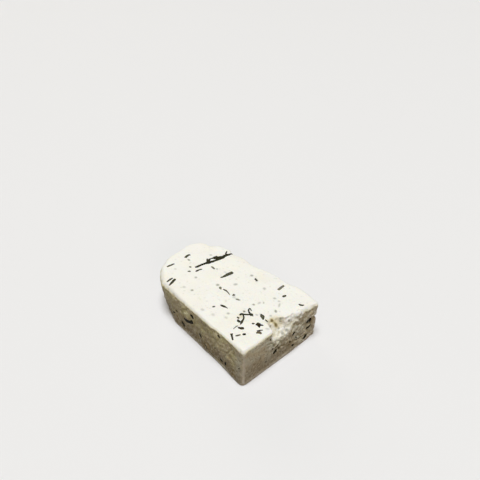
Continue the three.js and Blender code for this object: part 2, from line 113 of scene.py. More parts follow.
# The crumbled edge: across the block (Y), where the break starts on the top (X), and how low it
# reaches on the end face (Z). One pebble of curd still stands in it.
BREAK_Y = (-8.6, -7.2, -5.8, -2.4, 0.6, 3.6, 5, 6.6, 10, 13.4, 16.6, 19.2, 21.2)
BREAK_TOP_X = (60, 54, 50.4, 48.6, 49, 50.8, 52.8, 54, 54.6, 54.4, 52.8, 53.8, 60)
BREAK_LOW_Z = (28, 22.4, 21.4, 21, 21, 21, 21.6, 24, 25.8, 26.2, 26, 26.6, 29.6)
BREAK_FROM_X = 40
BREAK_PAST_END = 0.4
BREAK_SHORTEST_RUN = 0.1
BREAK_SCOOP = 0.06
BREAK_LEAN = 0.33
BREAK_LEAN_Y = (2, -6)
BREAK_SOFT_RADIUS = 2.6
BREAK_CRISP_RADIUS = 0.5
BREAK_SOFT_Y = (4, -3)
PEBBLE_AT = (54.4, 16.8, 27.6)
PEBBLE_RADII = (4.2, 3.8, 3.2)
PEBBLE_FOOT = 1.2

# How far the whole plan moves so that the middle of its box is the origin
PLAN_SHIFT = (0.02, 0.30)


def ease(low, high, value):
    """0 at low, 1 at high, with a soft start and end."""
    t = np.clip((value - low) / (high - low), 0, 1)
    return t * t * (3 - 2 * t)


def band(value, low, low_full, high_full, high):
    """1 between the two middle values, falling to 0 at the outer ones."""
    return ease(low, low_full, value) * ease(high, high_full, value)


def scatter(i, j, k, salt):
    """A repeatable number from 0 to 1 for each whole-number place."""
    i, j, k = (np.asarray(v).astype(np.int64).astype(np.uint32) for v in (i, j, k))
    h = (i * np.uint32(374761393)) ^ (j * np.uint32(668265263)) ^ (k * np.uint32(1274126177))
    h = h ^ np.uint32((salt * 974634777) & 0xFFFFFFFF)
    h = (h ^ (h >> np.uint32(15))) * np.uint32(2246822519)
    h = (h ^ (h >> np.uint32(13))) * np.uint32(3266489917)
    return (h ^ (h >> np.uint32(16))) / 4294967296.0


def curd_cells(x, y, z, cell, salt):
    """Distances to the nearest and second nearest curd centre, in cells."""
    x, y, z = x / cell, y / cell, z / cell
    i0, j0, k0 = np.floor(x), np.floor(y), np.floor(z)
    nearest = np.full(x.shape, np.inf)
    second = np.full(x.shape, np.inf)
    for di in (-1, 0, 1):
        for dj in (-1, 0, 1):
            for dk in (-1, 0, 1):
                i, j, k = i0 + di, j0 + dj, k0 + dk
                dx = x - i - scatter(i, j, k, salt)
                dy = y - j - scatter(i, j, k, salt + 1)
                dz = z - k - scatter(i, j, k, salt + 2)
                d = np.sqrt(dx * dx + dy * dy + dz * dz)
                second = np.minimum(second, np.maximum(d, nearest))
                nearest = np.minimum(nearest, d)
    return nearest, second


def curds(x, y, z, cell, salt):
    """1 at the middle of a lump of curd, falling to 0 in the seams between lumps."""
    nearest, second = curd_cells(x, y, z, cell, salt)
    return np.clip((second - nearest) * LUMP_STEEPNESS, 0, 1) * (1 - LUMP_DOME * nearest)


def grains(x, y, z, cell, salt):
    """Round grains packed together: 1 on top of each, falling to about 0.4 where they meet."""
    nearest, _ = curd_cells(x, y, z, cell, salt)
    return np.clip(GRAIN_TOP - GRAIN_DOME * nearest * nearest, 0, 1)


def smooth_line(knots, steps):
    """A curve through the knots, each stretch shaped by its neighbours."""
    knots = np.array(knots, float)
    padded = np.vstack([knots[:1], knots, knots[-1:]])
    t = np.linspace(0, 1, steps, endpoint=False)[:, None]
    line = []
    for a, b, c, d in zip(padded, padded[1:], padded[2:], padded[3:]):
        start, stop = (c - a) / 2, (d - b) / 2
        line.append((2 * b - 2 * c + start + stop) * t ** 3
                    + (3 * c - 3 * b - 2 * start - stop) * t ** 2 + start * t + b)
    return np.vstack(line + [knots[-1:]])


def plan_outline():
    """The block seen from above, as one closed line."""
    turn = np.linspace(-np.pi / 2, 0, 7)
    radius = FRONT_CORNER_RADIUS
    corner = np.c_[CUT_END_X - radius + radius * np.cos(turn),
                   STRAIGHT_SIDE_Y + radius + radius * np.sin(turn)]
    knots = [(CUT_END_X, CUT_END_FLAT_Y)] + BACK_CORNER + WAVY_SIDE + MOULDED_END
    return np.vstack([corner, smooth_line(knots, OUTLINE_STEPS)])


OUTLINE = plan_outline()


def plan_distance(x, y):
    """Signed distance to the plan's outline, negative inside."""
    best = np.full(x.shape, np.inf)
    inside = np.zeros(x.shape, bool)
    for (ax, ay), (bx, by) in zip(OUTLINE, np.roll(OUTLINE, -1, axis=0)):
        ex, ey = bx - ax, by - ay
        t = np.clip(((x - ax) * ex + (y - ay) * ey) / (ex * ex + ey * ey), 0, 1)
        best = np.minimum(best, (x - ax - ex * t) ** 2 + (y - ay - ey * t) ** 2)
        if ay != by:
            inside ^= ((ay > y) != (by > y)) & (x < ax + ex * (y - ay) / ey)
    return np.where(inside, -1, 1) * np.sqrt(best)


def rounded_edge(a, b, radius):
    """Two half spaces met in a rounded edge."""
    u, v = a + radius, b + radius
    return np.minimum(np.maximum(u, v), 0) + np.hypot(np.maximum(u, 0), np.maximum(v, 0)) - radius


def wall_inset(x, y, z):
    """How far in the wall stands at this place, against the plan."""
    down = 1 - z / HEIGHT
    lean = FAR_END_LEAN * ease(*FAR_LEAN_X, x) * down
    flare = STRAIGHT_SIDE_FLARE * down * ease(*STRAIGHT_SIDE_BLEND_Y, y) * ease(*FLARE_X, x)
    ledge = LEDGE_STEP * ease(*LEDGE_FADE_Z, z) * ease(*LEDGE_X, x) * ease(*LEDGE_Y, y)
    groove = GROOVE_DEPTH * np.maximum(0, 1 - np.abs(z - LEDGE_Z) / GROOVE_HALF_HEIGHT)
    groove = groove * ease(*GROOVE_Y, y) * ease(*CORNER_X, x)
    hollow = CORNER_HOLLOW * ease(*CORNER_HOLLOW_TOP_Z, z) * ease(*CORNER_HOLLOW_LOW_Z, z)
    hollow = hollow * ease(*CORNER_HOLLOW_Y, y)
    corner = (CORNER_LEAN * down * ease(*CORNER_LEAN_Y, y) + hollow) * ease(*CORNER_X, x)
    swell = CUT_END_SWELL * band(y, *CUT_END_SWELL_Y) * ease(*CUT_END_X_BLEND, x)
    end_top = END_TOP_LEAN * ease(*END_TOP_Z, z) * band(y, *END_TOP_Y) * ease(*CUT_END_X_BLEND, x)
    past_corner = x - CUT_END_X + y - STRAIGHT_SIDE_Y
    front = FRONT_TOP_OUT * ease(*FRONT_TOP_Z, z) * ease(*FRONT_TOP_Y, y) * ease(*FRONT_TOP_X, x)
    front = front * ease(*FRONT_TOP_PAST_CORNER, past_corner)
    side = SIDE_TOP_IN * ease(*SIDE_TOP_Z, z) * ease(*SIDE_TOP_X, x)
    side = side * ease(*STRAIGHT_SIDE_BLEND_Y, y)
    return lean - flare + ledge + groove + corner - swell + end_top - front + side


def broken_edge(x, y, z):
    """Positive where the cheese has come away along the cut end's top edge."""
    y = y + BREAK_LEAN * (HEIGHT - z) * ease(*BREAK_LEAN_Y, y)
    back_x = np.interp(y, BREAK_Y, BREAK_TOP_X)
    low_z = np.interp(y, BREAK_Y, BREAK_LOW_Z)
    run = np.maximum(CUT_END_X + BREAK_PAST_END - back_x, BREAK_SHORTEST_RUN)
    fall = HEIGHT - low_z
    slope = np.hypot(run, fall)
    down = np.clip(((x - back_x) * run - (z - HEIGHT) * fall) / slope ** 2, 0, 1)
    scoop = 4 * BREAK_SCOOP * slope * down * (1 - down)
    return ((x - back_x) * fall + (z - HEIGHT) * run) / slope + scoop


def pebble(x, y, z):
    """The one pebble of curd that still stands in the break, negative inside."""
    u, v, w = ((p - c) / r for p, c, r in zip((x, y, z), PEBBLE_AT, PEBBLE_RADII))
    return (np.sqrt(u * u + v * v + w * w) - 1) * min(PEBBLE_RADII)


def filled_crease(a, b, blend):
    """The smaller of two distances, with the crease where they meet filled in."""
    closeness = np.maximum(1 - np.abs(a - b) / blend, 0)
    return np.minimum(a, b) - closeness * closeness * blend / 4


def between(limits, share):
    """The value at this share of the way from the first limit to the second."""
    return limits[0] + (limits[1] - limits[0]) * share


def block_form(x, y, z):
    """The whole block without its fine relief, as a signed distance, negative inside."""
    edge = between((CUT_EDGE_RADIUS, MOULDED_EDGE_RADIUS), ease(*MOULDED_FROM_X, x))
    edge = edge + SOFT_SIDE_EDGE * ease(*SOFT_SIDE_X, x) * ease(*STRAIGHT_SIDE_BLEND_Y, y)
    edge = edge + SOFT_CORNER_EDGE * ease(*SOFT_CORNER_X, x) * ease(*SOFT_CORNER_Y, y)
    edge = edge + WORN_TIP_EDGE * ease(*WORN_TIP_X, x) * ease(*WORN_TIP_Y, y)
    wall = plan_distance(x, y) + wall_inset(x, y, z)
    body = rounded_edge(wall, z - HEIGHT, edge)
    based = rounded_edge(body, -BASE_EDGE_CUT - z, BASE_EDGE_RADIUS)
    broken = filled_crease(broken_edge(x, y, z), pebble(x, y, z), PEBBLE_FOOT)
    rounding = between((BREAK_CRISP_RADIUS, BREAK_SOFT_RADIUS), ease(*BREAK_SOFT_Y, y))
    return np.where(x > BREAK_FROM_X, rounded_edge(based, broken, rounding), based)


# Relief of the curd, in millimetres: broad lumps and swells, then finer crumbs
LUMP_CELL = 6.5
LUMP_SALT = 3
LUMP_MEAN = 0.4
LUMP_STEEPNESS = 1.6
LUMP_DOME = 0.5
CUT_FACE_LUMP = 0.6
CUT_FACE_X = (50, 55)
SMOOTH_CUT_FACE_LUMP = 0.15
SMOOTH_CUT_FACE_Y = (-18, -6)
SIDE_LUMP = 0.45
TOP_LUMP = 0.12
TOP_FROM_Z = (HEIGHT - 2.5, HEIGHT - 0.5)
SWELL = 0.3
SWELL_LENGTH = 34
SWELL_ACROSS = 1.3
SWELL_START_X = 1.1
SWELL_START_Y = 0.4
GRAIN_TOP = 1.1
GRAIN_DOME = 1.3
GRAIN_MEAN = 0.7
FAINTEST_WEIGHT = 0.01
WORN_CORNER = 0.7
WORN_CORNER_Y = (27, 32)
WORN_CORNER_Z = (21, 26)
SIDE_BUMPS_BELOW_Y = -25
SIDE_BUMPS = [(-1, 19, 6, 0.7), (45, 14, 5, 0.35), (20, 12, 8, 0.4), (-17, 21, 7, 0.4)]
# Grains of each part of the surface: cell, salt of the draw, height
BREAK_CRAGS = [(5.2, 11, 0.6), (3.1, 17, 0.4), (1.5, 23, 0.32)]
CUT_FACE_CRUMBS = [(4.2, 31, 0.7), (2.2, 35, 0.4), (1.2, 37, 0.18)]
SIDE_CRUMBS = [(5.0, 41, 0.3), (2.4, 43, 0.26), (1.3, 47, 0.13)]
TOP_CRUMBS = [(4.5, 53, 0.06), (1.6, 59, 0.04)]


def bump_weights(x, y, z):
    """How much of each spot is top face, and how much is the rough part of the cut end."""
    on_top = ease(*TOP_FROM_Z, z)
    on_cut_end = ease(*CUT_FACE_X, x) * (1 - on_top)
    worn = WORN_CORNER * ease(*WORN_CORNER_Y, y) * ease(*WORN_CORNER_Z, z)
    return on_top, on_cut_end, on_cut_end * ease(*SMOOTH_CUT_FACE_Y, y) * (1 - worn)


def broad_relief(x, y, z):
    """Lumps and swells that the solid has too."""
    on_top, on_cut_end, _ = bump_weights(x, y, z)
    rough = ease(*SMOOTH_CUT_FACE_Y, y)
    cut_face = between((SMOOTH_CUT_FACE_LUMP, CUT_FACE_LUMP), rough)
    lump = between((between((SIDE_LUMP, TOP_LUMP), on_top), cut_face), on_cut_end)
    height = lump * (curds(x, y, z, LUMP_CELL, LUMP_SALT) - LUMP_MEAN)
    turn = 2 * np.pi / SWELL_LENGTH
    across = turn * SWELL_ACROSS * y + turn * z + SWELL_START_Y
    height += SWELL * np.sin(turn * x + SWELL_START_X) * np.sin(across)
    for bump_x, bump_z, radius, rise in SIDE_BUMPS:
        d = np.hypot(x - bump_x, z - bump_z) / radius
        height += np.where(y < SIDE_BUMPS_BELOW_Y, rise * ease(1, 0, d), 0)
    return height


def fine_relief(x, y, z, in_break):
    """Crumbs and grain that only the finished surface has, with the crags of the break."""
    on_top, on_cut_end, rough = bump_weights(x, y, z)
    on_side = (1 - on_top) * (1 - on_cut_end)
    height = np.zeros(x.shape)
    for weight, layers in ((in_break, BREAK_CRAGS), (rough, CUT_FACE_CRUMBS),
                           (on_side, SIDE_CRUMBS), (on_top, TOP_CRUMBS)):
        near = weight > FAINTEST_WEIGHT
        for cell, salt, rise in layers:
            lumps = grains(x[near], y[near], z[near], cell, salt) - GRAIN_MEAN
            height[near] += weight[near] * rise * lumps
    return height


# The mesh: a finely divided belt of wall and a grid of top face. Every vertex is moved out from
# the block's spine until it meets the form.
STEPS_X = 240
STEPS_Y = 140
STEPS_Z = 60
BASE_ROWS = 6
BASE_INWARD = 0.3
STEP_BIAS_X = 0.34
STEP_BIAS_Y = 0.05
STEP_BIAS_Z = 0.2
FINE_STEPS_AT_Y = 0.6
SPINE_HALF_X = 32
SPINE_HALF_Y = 10
SPINE_Z = 15
SEARCH_REACH = 1.3
SEARCH_HALVINGS = 20


def box_places():
    """Even steps along the three edges of the box round the block, finer near the break."""
    along = np.linspace(0, 1, STEPS_X + 1)
    across = np.linspace(0, 1, STEPS_Y + 1)
    up = np.linspace(0, 1, STEPS_Z + 1)
    wave = np.sin(2 * np.pi * (across - FINE_STEPS_AT_Y)) + np.sin(2 * np.pi * FINE_STEPS_AT_Y)
    x = 2 * CUT_END_X * (along + STEP_BIAS_X * along * (1 - along) - 0.5)
    y = -2 * STRAIGHT_SIDE_Y * (across - STEP_BIAS_Y * wave - 0.5)
    z = HEIGHT * (up + STEP_BIAS_Z * up * (1 - up))
    return x, y, z


def box_grid():
    """Vertices on the box round the block, and the faces that join them, outward."""
    x, y, z = box_places()
    ring = [(i, 0) for i in range(STEPS_X)] + [(STEPS_X, j) for j in range(STEPS_Y)]
    ring += [(i, STEPS_Y) for i in range(STEPS_X, 0, -1)] + [(0, j) for j in range(STEPS_Y, 0, -1)]
    ring_x = x[[i for i, _ in ring]]
    ring_y = y[[j for _, j in ring]]
    rows = []
    for r in range(BASE_ROWS):
        inward = BASE_INWARD * (1 - r / BASE_ROWS)
        to_spine_x = np.clip(ring_x, -SPINE_HALF_X, SPINE_HALF_X) - ring_x
        to_spine_y = np.clip(ring_y, -SPINE_HALF_Y, SPINE_HALF_Y) - ring_y
        rows.append(np.c_[ring_x + to_spine_x * inward, ring_y + to_spine_y * inward,
                          np.zeros(len(ring))])
    rows += [np.c_[ring_x, ring_y, np.full(len(ring), height)] for height in z]
    belt = np.arange(len(rows) * len(ring)).reshape(len(rows), len(ring))
    places = np.vstack(rows)
    top = np.full((STEPS_X + 1, STEPS_Y + 1), -1)
    for column, (i, j) in enumerate(ring):
        top[i, j] = belt[-1, column]
    inner_x, inner_y = np.meshgrid(x[1:-1], y[1:-1], indexing="ij")
    top[1:-1, 1:-1] = len(places) + np.arange(inner_x.size).reshape(inner_x.shape)
    inner = np.c_[inner_x.ravel(), inner_y.ravel(), np.full(inner_x.size, z[-1])]
    following = np.roll(belt, -1, axis=1)
    wall_quads = np.stack([belt[:-1], following[:-1], following[1:], belt[1:]], -1)
    top_quads = np.stack([top[:-1, :-1], top[1:, :-1], top[1:, 1:], top[:-1, 1:]], -1)
    quads = np.vstack([wall_quads.reshape(-1, 4), top_quads.reshape(-1, 4)])
    return np.vstack([places, inner]), quads, belt[0][::-1]


def meet_form(places):
    """Each place moved along its own line from the spine until it lies on the form."""
    spine = np.c_[np.clip(places[:, 0], -SPINE_HALF_X, SPINE_HALF_X),
                  np.clip(places[:, 1], -SPINE_HALF_Y, SPINE_HALF_Y), np.full(len(places), SPINE_Z)]
    toward = places - spine
    near = np.zeros(len(places))
    far = np.full(len(places), SEARCH_REACH)
    for _ in range(SEARCH_HALVINGS):
        middle = (near + far) / 2
        point = spine + toward * middle[:, None]
        inside = block_form(*point.T) < 0
        near = np.where(inside, middle, near)
        far = np.where(inside, far, middle)
    point = spine + toward * far[:, None]
    point[:, 2] = np.maximum(point[:, 2], 0)
    return point


def vertex_normals(points, quads):
    """Area-weighted outward directions."""
    a, b, c, d = (points[quads[:, k]] for k in range(4))
    across = np.cross(c - a, d - b)
    normals = np.zeros(points.shape)
    for k in range(4):
        for axis in range(3):
            normals[:, axis] += np.bincount(quads[:, k], across[:, axis], len(points))
    return normals / np.maximum(np.linalg.norm(normals, axis=1), 1e-9)[:, None]


# Marks in the curd, read off the real block. On the top face: X, Y, radius, strength.
OCHRE_STAINS = [
    (49.7, -1.4, 1.1, 1.3), (52.4, -0.6, 1.0, 1.15), (50.9, 0.4, 2.8, 0.24),
    (49.4, -4.6, 2.2, 0.18), (52.6, 3.0, 2.4, 0.18), (54.8, -3.8, 3.2, 0.12),
    (34.9, -15.2, 1.5, 0.3), (33.2, -14.0, 1.2, 0.2),
]
OCHRE_FROM_Z = (16, 22)
# Pits with bits of herb in the broken edge: X, Y, Z, radius, strength
BREAK_SPOTS = [
    (57.7, 4.6, 22.2, 1.1, 0.60), (57.3, 0.8, 21.8, 1.2, 0.50), (54.3, 0.4, 24.1, 0.9, 0.60),
    (56.1, 8.0, 27.4, 0.9, 0.80), (51.4, -4.7, 27.4, 0.9, 0.50), (53.2, 5.1, 29.4, 0.8, 0.60),
    (52.2, 4.0, 29.0, 0.9, 0.75), (52.6, 3.3, 27.4, 0.8, 0.55), (55.8, 4.2, 24.0, 0.8, 0.40),
    (57.0, 10.6, 27.2, 1.8, 0.18), (55.4, 16.6, 30.0, 0.7, 0.22), (55.1, 18.1, 30.2, 0.7, 0.22),
]
# Sunk herb pieces that show through as faint grey marks: X, Y, half length, half width, turn,
# strength
SUNK_HERBS = [
    (-41.0, -4.0, 1.5, 0.8, 0, 0.5), (-34.5, 12.7, 1.2, 0.9, 20, 0.35),
    (-17.3, 5.4, 0.9, 0.7, 140, 0.4), (-1.8, -6, 1.3, 1.2, 0, 0.45),
    (-19.3, -12.8, 1.1, 1.0, 0, 0.4), (-9.3, -23.3, 1.1, 1.0, 0, 0.5),
    (-16, -25.7, 1.4, 1.2, 0, 0.2), (20.4, -5.7, 2.0, 0.8, 20, 0.45),
    (16.8, -6.2, 1.4, 1.2, 0, 0.2), (6.6, 19.4, 1.3, 1.2, 0, 0.4), (24, 15.9, 1.3, 1.1, 0, 0.3),
    (36.4, 14, 1.2, 1.1, 0, 0.3), (40.5, 14.2, 1.0, 0.9, 0, 0.25), (6.7, 3.7, 1.6, 1.3, 60, 0.3),
    (31.3, -0.9, 1.0, 0.8, 0, 0.5), (34.8, 5.1, 1.2, 0.5, 140, 0.35),
    (32.8, 2.9, 1.0, 1.4, 0, 0.25), (46.1, 5.6, 1.4, 0.9, 150, 0.5),
    (26.5, -19.3, 1.2, 1.0, 0, 0.35), (13.5, 18, 2.4, 0.9, 145, 0.2),
    (43.5, 11.5, 2.2, 0.7, 125, 0.3), (54.3, -9.9, 1.6, 0.9, 30, 0.22),
    (46.9, 0.1, 0.9, 0.9, 0, 0.3), (12, -29.9, 1.6, 1.1, 0, 0.2),
    (20.8, -27.7, 1.5, 1.1, 0, 0.18), (-38.2, -18.4, 1.3, 0.9, 0, 0.2),
    (-9.6, 7.4, 1.6, 0.9, 0, 0.15), (-4, 7.9, 1.2, 1.2, 0, 0.1), (28.6, -22.9, 1.5, 0.9, 0, 0.2),
    (15.8, -12.7, 1.5, 0.9, 140, 0.12), (40, -6, 1.2, 0.8, 0, 0.25), (32, -10, 1.2, 1.0, 0, 0.3),
]
SUNK_GAIN = 1.5
SUNK_FROM_Z = HEIGHT - 4
DUST_COUNT = 150
DUST_X = 56
DUST_Y = 33
DUST_RADIUS = (0.35, 0.8)
DUST_STRENGTH = (0.05, 0.22)
DUST_FROM_Z = HEIGHT - 3
DUST_SEED = 6
# Pinholes in the top face
PORE_COUNT = 170
PORE_X = 54
PORE_Y = 31
PORE_RADIUS = (0.45, 1.0)
PORE_SHRINK = (0.6, 1)
PORE_DEPTH = 0.42
PORE_FROM_Z = HEIGHT - 2
PORE_SEED = 5
# Painted highlights where light catches the two upright corners of the cut end: X and Y at the
# foot,
# X and Y at the top, reach, strength. The foot all round has a painted highlight too.
CORNER_HIGHLIGHTS = [(58.5, -34.7, 59.7, -33.2, 0.95, 1.0), (58.2, 32.4, 59.2, 32.8, 2.0, 1.1)]
FOOT_HIGHLIGHT = 0.9
FOOT_HIGHLIGHT_Z = (3.8, 1.0)
# Painted shade: the walls are painted darker and browner towards the foot, less so on the cut end
# and least towards its back corner
LOW_SHADE_Z = (24, 2)
CUT_END_LESS_SHADE = 0.26
BACK_LESS_SHADE = 0.52
BACK_LESS_SHADE_Y = (4, 18)
WALL_SLOPE = (0.15, 0.6)
WALL_SLOPE_Z = (20, 24)
BREAK_LESS_WALL = 0.85
TONGUE_Z = (25, 21.5)
TONGUE_Y = (5, 0)
TONGUE_WALL_SHARE = 0.5
# Shade in the hollows: from which depth, and in the seam round the pebble
HOLLOW_DEPTH = (0.02, -0.45)
HOLE_SHARE = 0.8
HIGHLIGHT_CLEARS_HOLLOWS = 0.8
SEAM_WIDTH = 0.4
SEAM_SHADE = 0.45
SEAM_Z = (HEIGHT - 0.3, HEIGHT - 1)
# Cracks in the cut end (Y, Z) and in the straight side (X, Z), each with its width and depth
END_CRACKS = [
    ([(-6.5, 12.4), (-2, 12.6), (2, 11.2), (6.5, 11.8)], 0.9, 0.7),
    ([(4, 8.4), (9, 9.4), (14, 7.6), (19, 6.4)], 0.8, 0.6),
    ([(-14, 22.5), (-9.5, 20), (-7.6, 16.5)], 0.7, 0.5),
    ([(25, 19.6), (29, 18.9), (33, 18.4)], 0.9, 0.5),
    ([(22, 13.4), (26, 14.4), (30, 12.6)], 0.9, 0.6),
]
SIDE_CRACKS = [
    ([(41.4, 10.6), (42.2, 14.2), (44.6, 19), (48.8, 25.4)], 1.1, 0.35),
    ([(42.2, 14.2), (40.6, 16.4), (40.4, 19.4)], 0.8, 0.25),
    ([(-9, 21.5), (-4.5, 22.6), (0.5, 24.6)], 0.7, 0.4),
]
END_CRACKS_PAST_X = 50
SIDE_CRACKS_BELOW_Y = -30
CRACK_STEPS = 6
# Where the break's own relief and colours fade in
BREAK_FADE = (-1.1, -0.2)
BREAK_FACE_PAST_X = 44
PEBBLE_FADE = (0.3, -0.3)
PEBBLE_SMOOTHNESS = 0.85
FOOT_FADE_Z = (0, 4)


def distance_to_line(u, v, line):
    """Distance from each place to a line of straight stretches."""
    best = np.full(u.shape, np.inf)
    for (au, av), (bu, bv) in zip(line, line[1:]):
        eu, ev = bu - au, bv - av
        t = np.clip(((u - au) * eu + (v - av) * ev) / (eu * eu + ev * ev), 0, 1)
        best = np.minimum(best, np.hypot(u - au - eu * t, v - av - ev * t))
    return best


def pores_and_cracks(x, y, z):
    """Depth of the pinholes on the top and of the cracks in the two cut faces, in millimetres."""
    depth = np.zeros(x.shape)
    on_top = z > PORE_FROM_Z
    draw = np.random.default_rng(PORE_SEED)
    for _ in range(PORE_COUNT):
        at_x, at_y = draw.uniform(-PORE_X, PORE_X), draw.uniform(-PORE_Y, PORE_Y)
        radius = draw.uniform(*PORE_RADIUS) * draw.uniform(*PORE_SHRINK)
        d = np.hypot(x - at_x, y - at_y) / radius
        hole = on_top & (d < 1)
        depth[hole] += PORE_DEPTH * radius * (1 - d[hole] ** 2) ** 2
    on_end, on_side = x > END_CRACKS_PAST_X, y < SIDE_CRACKS_BELOW_Y
    for u, v, face, cracks in ((y, z, on_end, END_CRACKS), (x, z, on_side, SIDE_CRACKS)):
        for line, width, deep in cracks:
            gap = distance_to_line(u[face], v[face], smooth_line(line, CRACK_STEPS)) / width
            depth[face] += deep * ease(1, 0, gap)
    return depth


def ochre_marks(x, y, z):
    """Where whey has dried to an ochre stain."""
    marks = np.zeros(x.shape)
    for at_x, at_y, radius, strength in OCHRE_STAINS:
        d = np.hypot(x - at_x, y - at_y) / radius
        marks += strength * np.exp(-d * d) * ease(*OCHRE_FROM_Z, z)
    return marks


def grey_marks(x, y, z):
    """Where herbs lie just under the surface, in the pits of the break, and as dust on the top."""
    marks = np.zeros(x.shape)
    for at_x, at_y, half_long, half_wide, turn, strength in SUNK_HERBS:
        c, s = math.cos(math.radians(turn)), math.sin(math.radians(turn))
        u = ((x - at_x) * c + (y - at_y) * s) / half_long
        v = ((y - at_y) * c - (x - at_x) * s) / half_wide
        marks += SUNK_GAIN * strength * np.exp(-(u * u + v * v) ** 2) * (z > SUNK_FROM_Z)
    for at_x, at_y, at_z, radius, strength in BREAK_SPOTS:
        d = np.sqrt((x - at_x) ** 2 + (y - at_y) ** 2 + (z - at_z) ** 2) / radius
        marks += strength * np.exp(-d ** 4)
    draw = np.random.default_rng(DUST_SEED)
    for _ in range(DUST_COUNT):
        at_x, at_y = draw.uniform(-DUST_X, DUST_X), draw.uniform(-DUST_Y, DUST_Y)
        radius, strength = draw.uniform(*DUST_RADIUS), draw.uniform(*DUST_STRENGTH)
        d = np.hypot(x - at_x, y - at_y) / radius
        marks += strength * np.exp(-d ** 4) * (z > DUST_FROM_Z)
    return marks


def wall_marks(x, y, z, facing_up, in_break):
    """How much each spot counts as wall, how much painted shade darkens that wall towards its foot,
    and how much painted highlight lightens it.
    """
    _, cut_end, _ = bump_weights(x, y, z)
    wall = 1 - ease(*WALL_SLOPE, facing_up) * ease(*WALL_SLOPE_Z, z)
    tongue = ease(*TONGUE_Z, z) * ease(*TONGUE_Y, y)
    wall = wall * (1 - BREAK_LESS_WALL * in_break * (1 - TONGUE_WALL_SHARE * tongue))
    less_shade = CUT_END_LESS_SHADE + BACK_LESS_SHADE * ease(*BACK_LESS_SHADE_Y, y)
    low_shade = wall * (1 - less_shade * cut_end) * ease(*LOW_SHADE_Z, z)
    # Painted highlight along the foot and up the cut end's upright corners.
    highlight = FOOT_HIGHLIGHT * ease(*FOOT_HIGHLIGHT_Z, z)
    up = z / HEIGHT
    for foot_x, foot_y, top_x, top_y, reach, strength in CORNER_HIGHLIGHTS:
        at_x, at_y = between((foot_x, top_x), up), between((foot_y, top_y), up)
        d = np.hypot(x - at_x, y - at_y) / reach
        highlight = np.maximum(highlight, strength * np.exp(-d * d))
    return wall, wall * (1 - cut_end), low_shade, highlight


def build_block():
    """The curd's mesh, with a layer of weights for each kind of mark on it."""
    places, quads, base_ring = box_grid()
    points = meet_form(places)
    past_x = points[:, 0] > BREAK_FACE_PAST_X
    in_break = ease(*BREAK_FADE, np.minimum(broken_edge(*points.T), 0)) * past_x
    on_pebble = in_break * ease(*PEBBLE_FADE, pebble(*points.T))
    lifted = ease(*FOOT_FADE_Z, points[:, 2])
    normals = vertex_normals(points, quads)
    fine = fine_relief(*points.T, in_break - PEBBLE_SMOOTHNESS * on_pebble)
    holes = pores_and_cracks(*points.T) * (1 - in_break)
    height = broad_relief(*points.T) + fine - holes
    points = points + normals * (height * lifted)[:, None]
    points[:, 2] = np.maximum(points[:, 2], 0)
    faces = [tuple(q) for q in quads.tolist()] + [tuple(base_ring.tolist())]
    mesh = bpy.data.meshes.new("herbed_cheese")
    moved = (points + [*PLAN_SHIFT, 0]) * 0.001
    mesh.from_pydata(moved.tolist(), [], faces)
    mesh.polygons.foreach_set("use_smooth", [True] * len(quads) + [False])
    wall, warm_bounce, low_shade, highlight = wall_marks(*points.T, normals[:, 2], in_break)
    hollow = ease(*HOLLOW_DEPTH, fine - HOLE_SHARE * holes) * lifted
    seam = (pebble(*points.T) - broken_edge(*points.T)) / SEAM_WIDTH
    seam = SEAM_SHADE * np.exp(-seam ** 2) * in_break * ease(*SEAM_Z, points[:, 2])
    hollow = np.maximum(hollow, seam) * (1 - HIGHLIGHT_CLEARS_HOLLOWS * np.minimum(highlight, 1))
    # The wall tint, the darkening towards the foot, the pale corners and foot and the hollows are
    # painted light and shade; the ochre and the grey marks are marks in the curd.
    layers = {"ochre": ochre_marks(*points.T), "sunk_herb": grey_marks(*points.T),
              "hollow": hollow, "wall": wall, "warm_bounce": warm_bounce, "highlight": wall * highlight, "low_shade": low_shade}
    for name, values in layers.items():
        layer = mesh.attributes.new(name, "FLOAT", "POINT")
        layer.data.foreach_set("value", np.clip(values, 0, 1).astype(np.float32))
    mesh.update()
    block = bpy.data.objects.new("herbed_cheese", mesh)
    bpy.context.scene.collection.objects.link(block)
    return block


def nodes_of(name):
    """A new material, its node tree, and its main shader."""
    material = bpy.data.materials.new(name)
    material.use_nodes = True
    tree = material.node_tree
    return material, tree, tree.nodes["Principled BSDF"]


def add_node(tree, kind, inputs=(), **settings):
    """Adds a node with these properties. Each input is set to a value or linked to a socket."""
    node = tree.nodes.new(kind)
    for key, value in settings.items():
        setattr(node, key, value)
    for key, value in dict(inputs).items():
        if isinstance(value, bpy.types.NodeSocket):
            tree.links.new(value, node.inputs[key])
        else:
            node.inputs[key].default_value = value
    return node


def mix_colours(tree, amount, below, above):
    """Lays one colour over another. The amount and both colours are values or sockets."""
    inputs = {0: amount, 6: below, 7: above}
    return add_node(tree, "ShaderNodeMix", inputs, data_type="RGBA").outputs[2]


def spread(tree, value, low, high, out_low=0.0, out_high=1.0):
    """Rescales a value from one range to another, held at both ends."""
    inputs = {"Value": value, "From Min": low, "From Max": high,
              "To Min": out_low, "To Max": out_high}
    return add_node(tree, "ShaderNodeMapRange", inputs).outputs["Result"]


def read_mark(tree, name):
    """The weight of one kind of mark, as stored on the mesh."""
    return add_node(tree, "ShaderNodeAttribute", attribute_name=name).outputs["Fac"]


def noise(tree, place, scale, detail):
    """A soft random pattern in the material, from 0 to 1."""
    inputs = {"Vector": place, "Scale": scale, "Detail": detail}
    return add_node(tree, "ShaderNodeTexNoise", inputs).outputs[0]


def product(tree, a, b):
    """One value times another."""
    return add_node(tree, "ShaderNodeMath", {0: a, 1: b}, operation="MULTIPLY").outputs[0]


def relief(tree, height, strength, distance, below=None):
    """A bump in the surface, laid over another one if that is given."""
    inputs = {"Height": height, "Strength": strength, "Distance": distance}
    if below is not None:
        inputs["Normal"] = below
    return add_node(tree, "ShaderNodeBump", inputs).outputs[0]
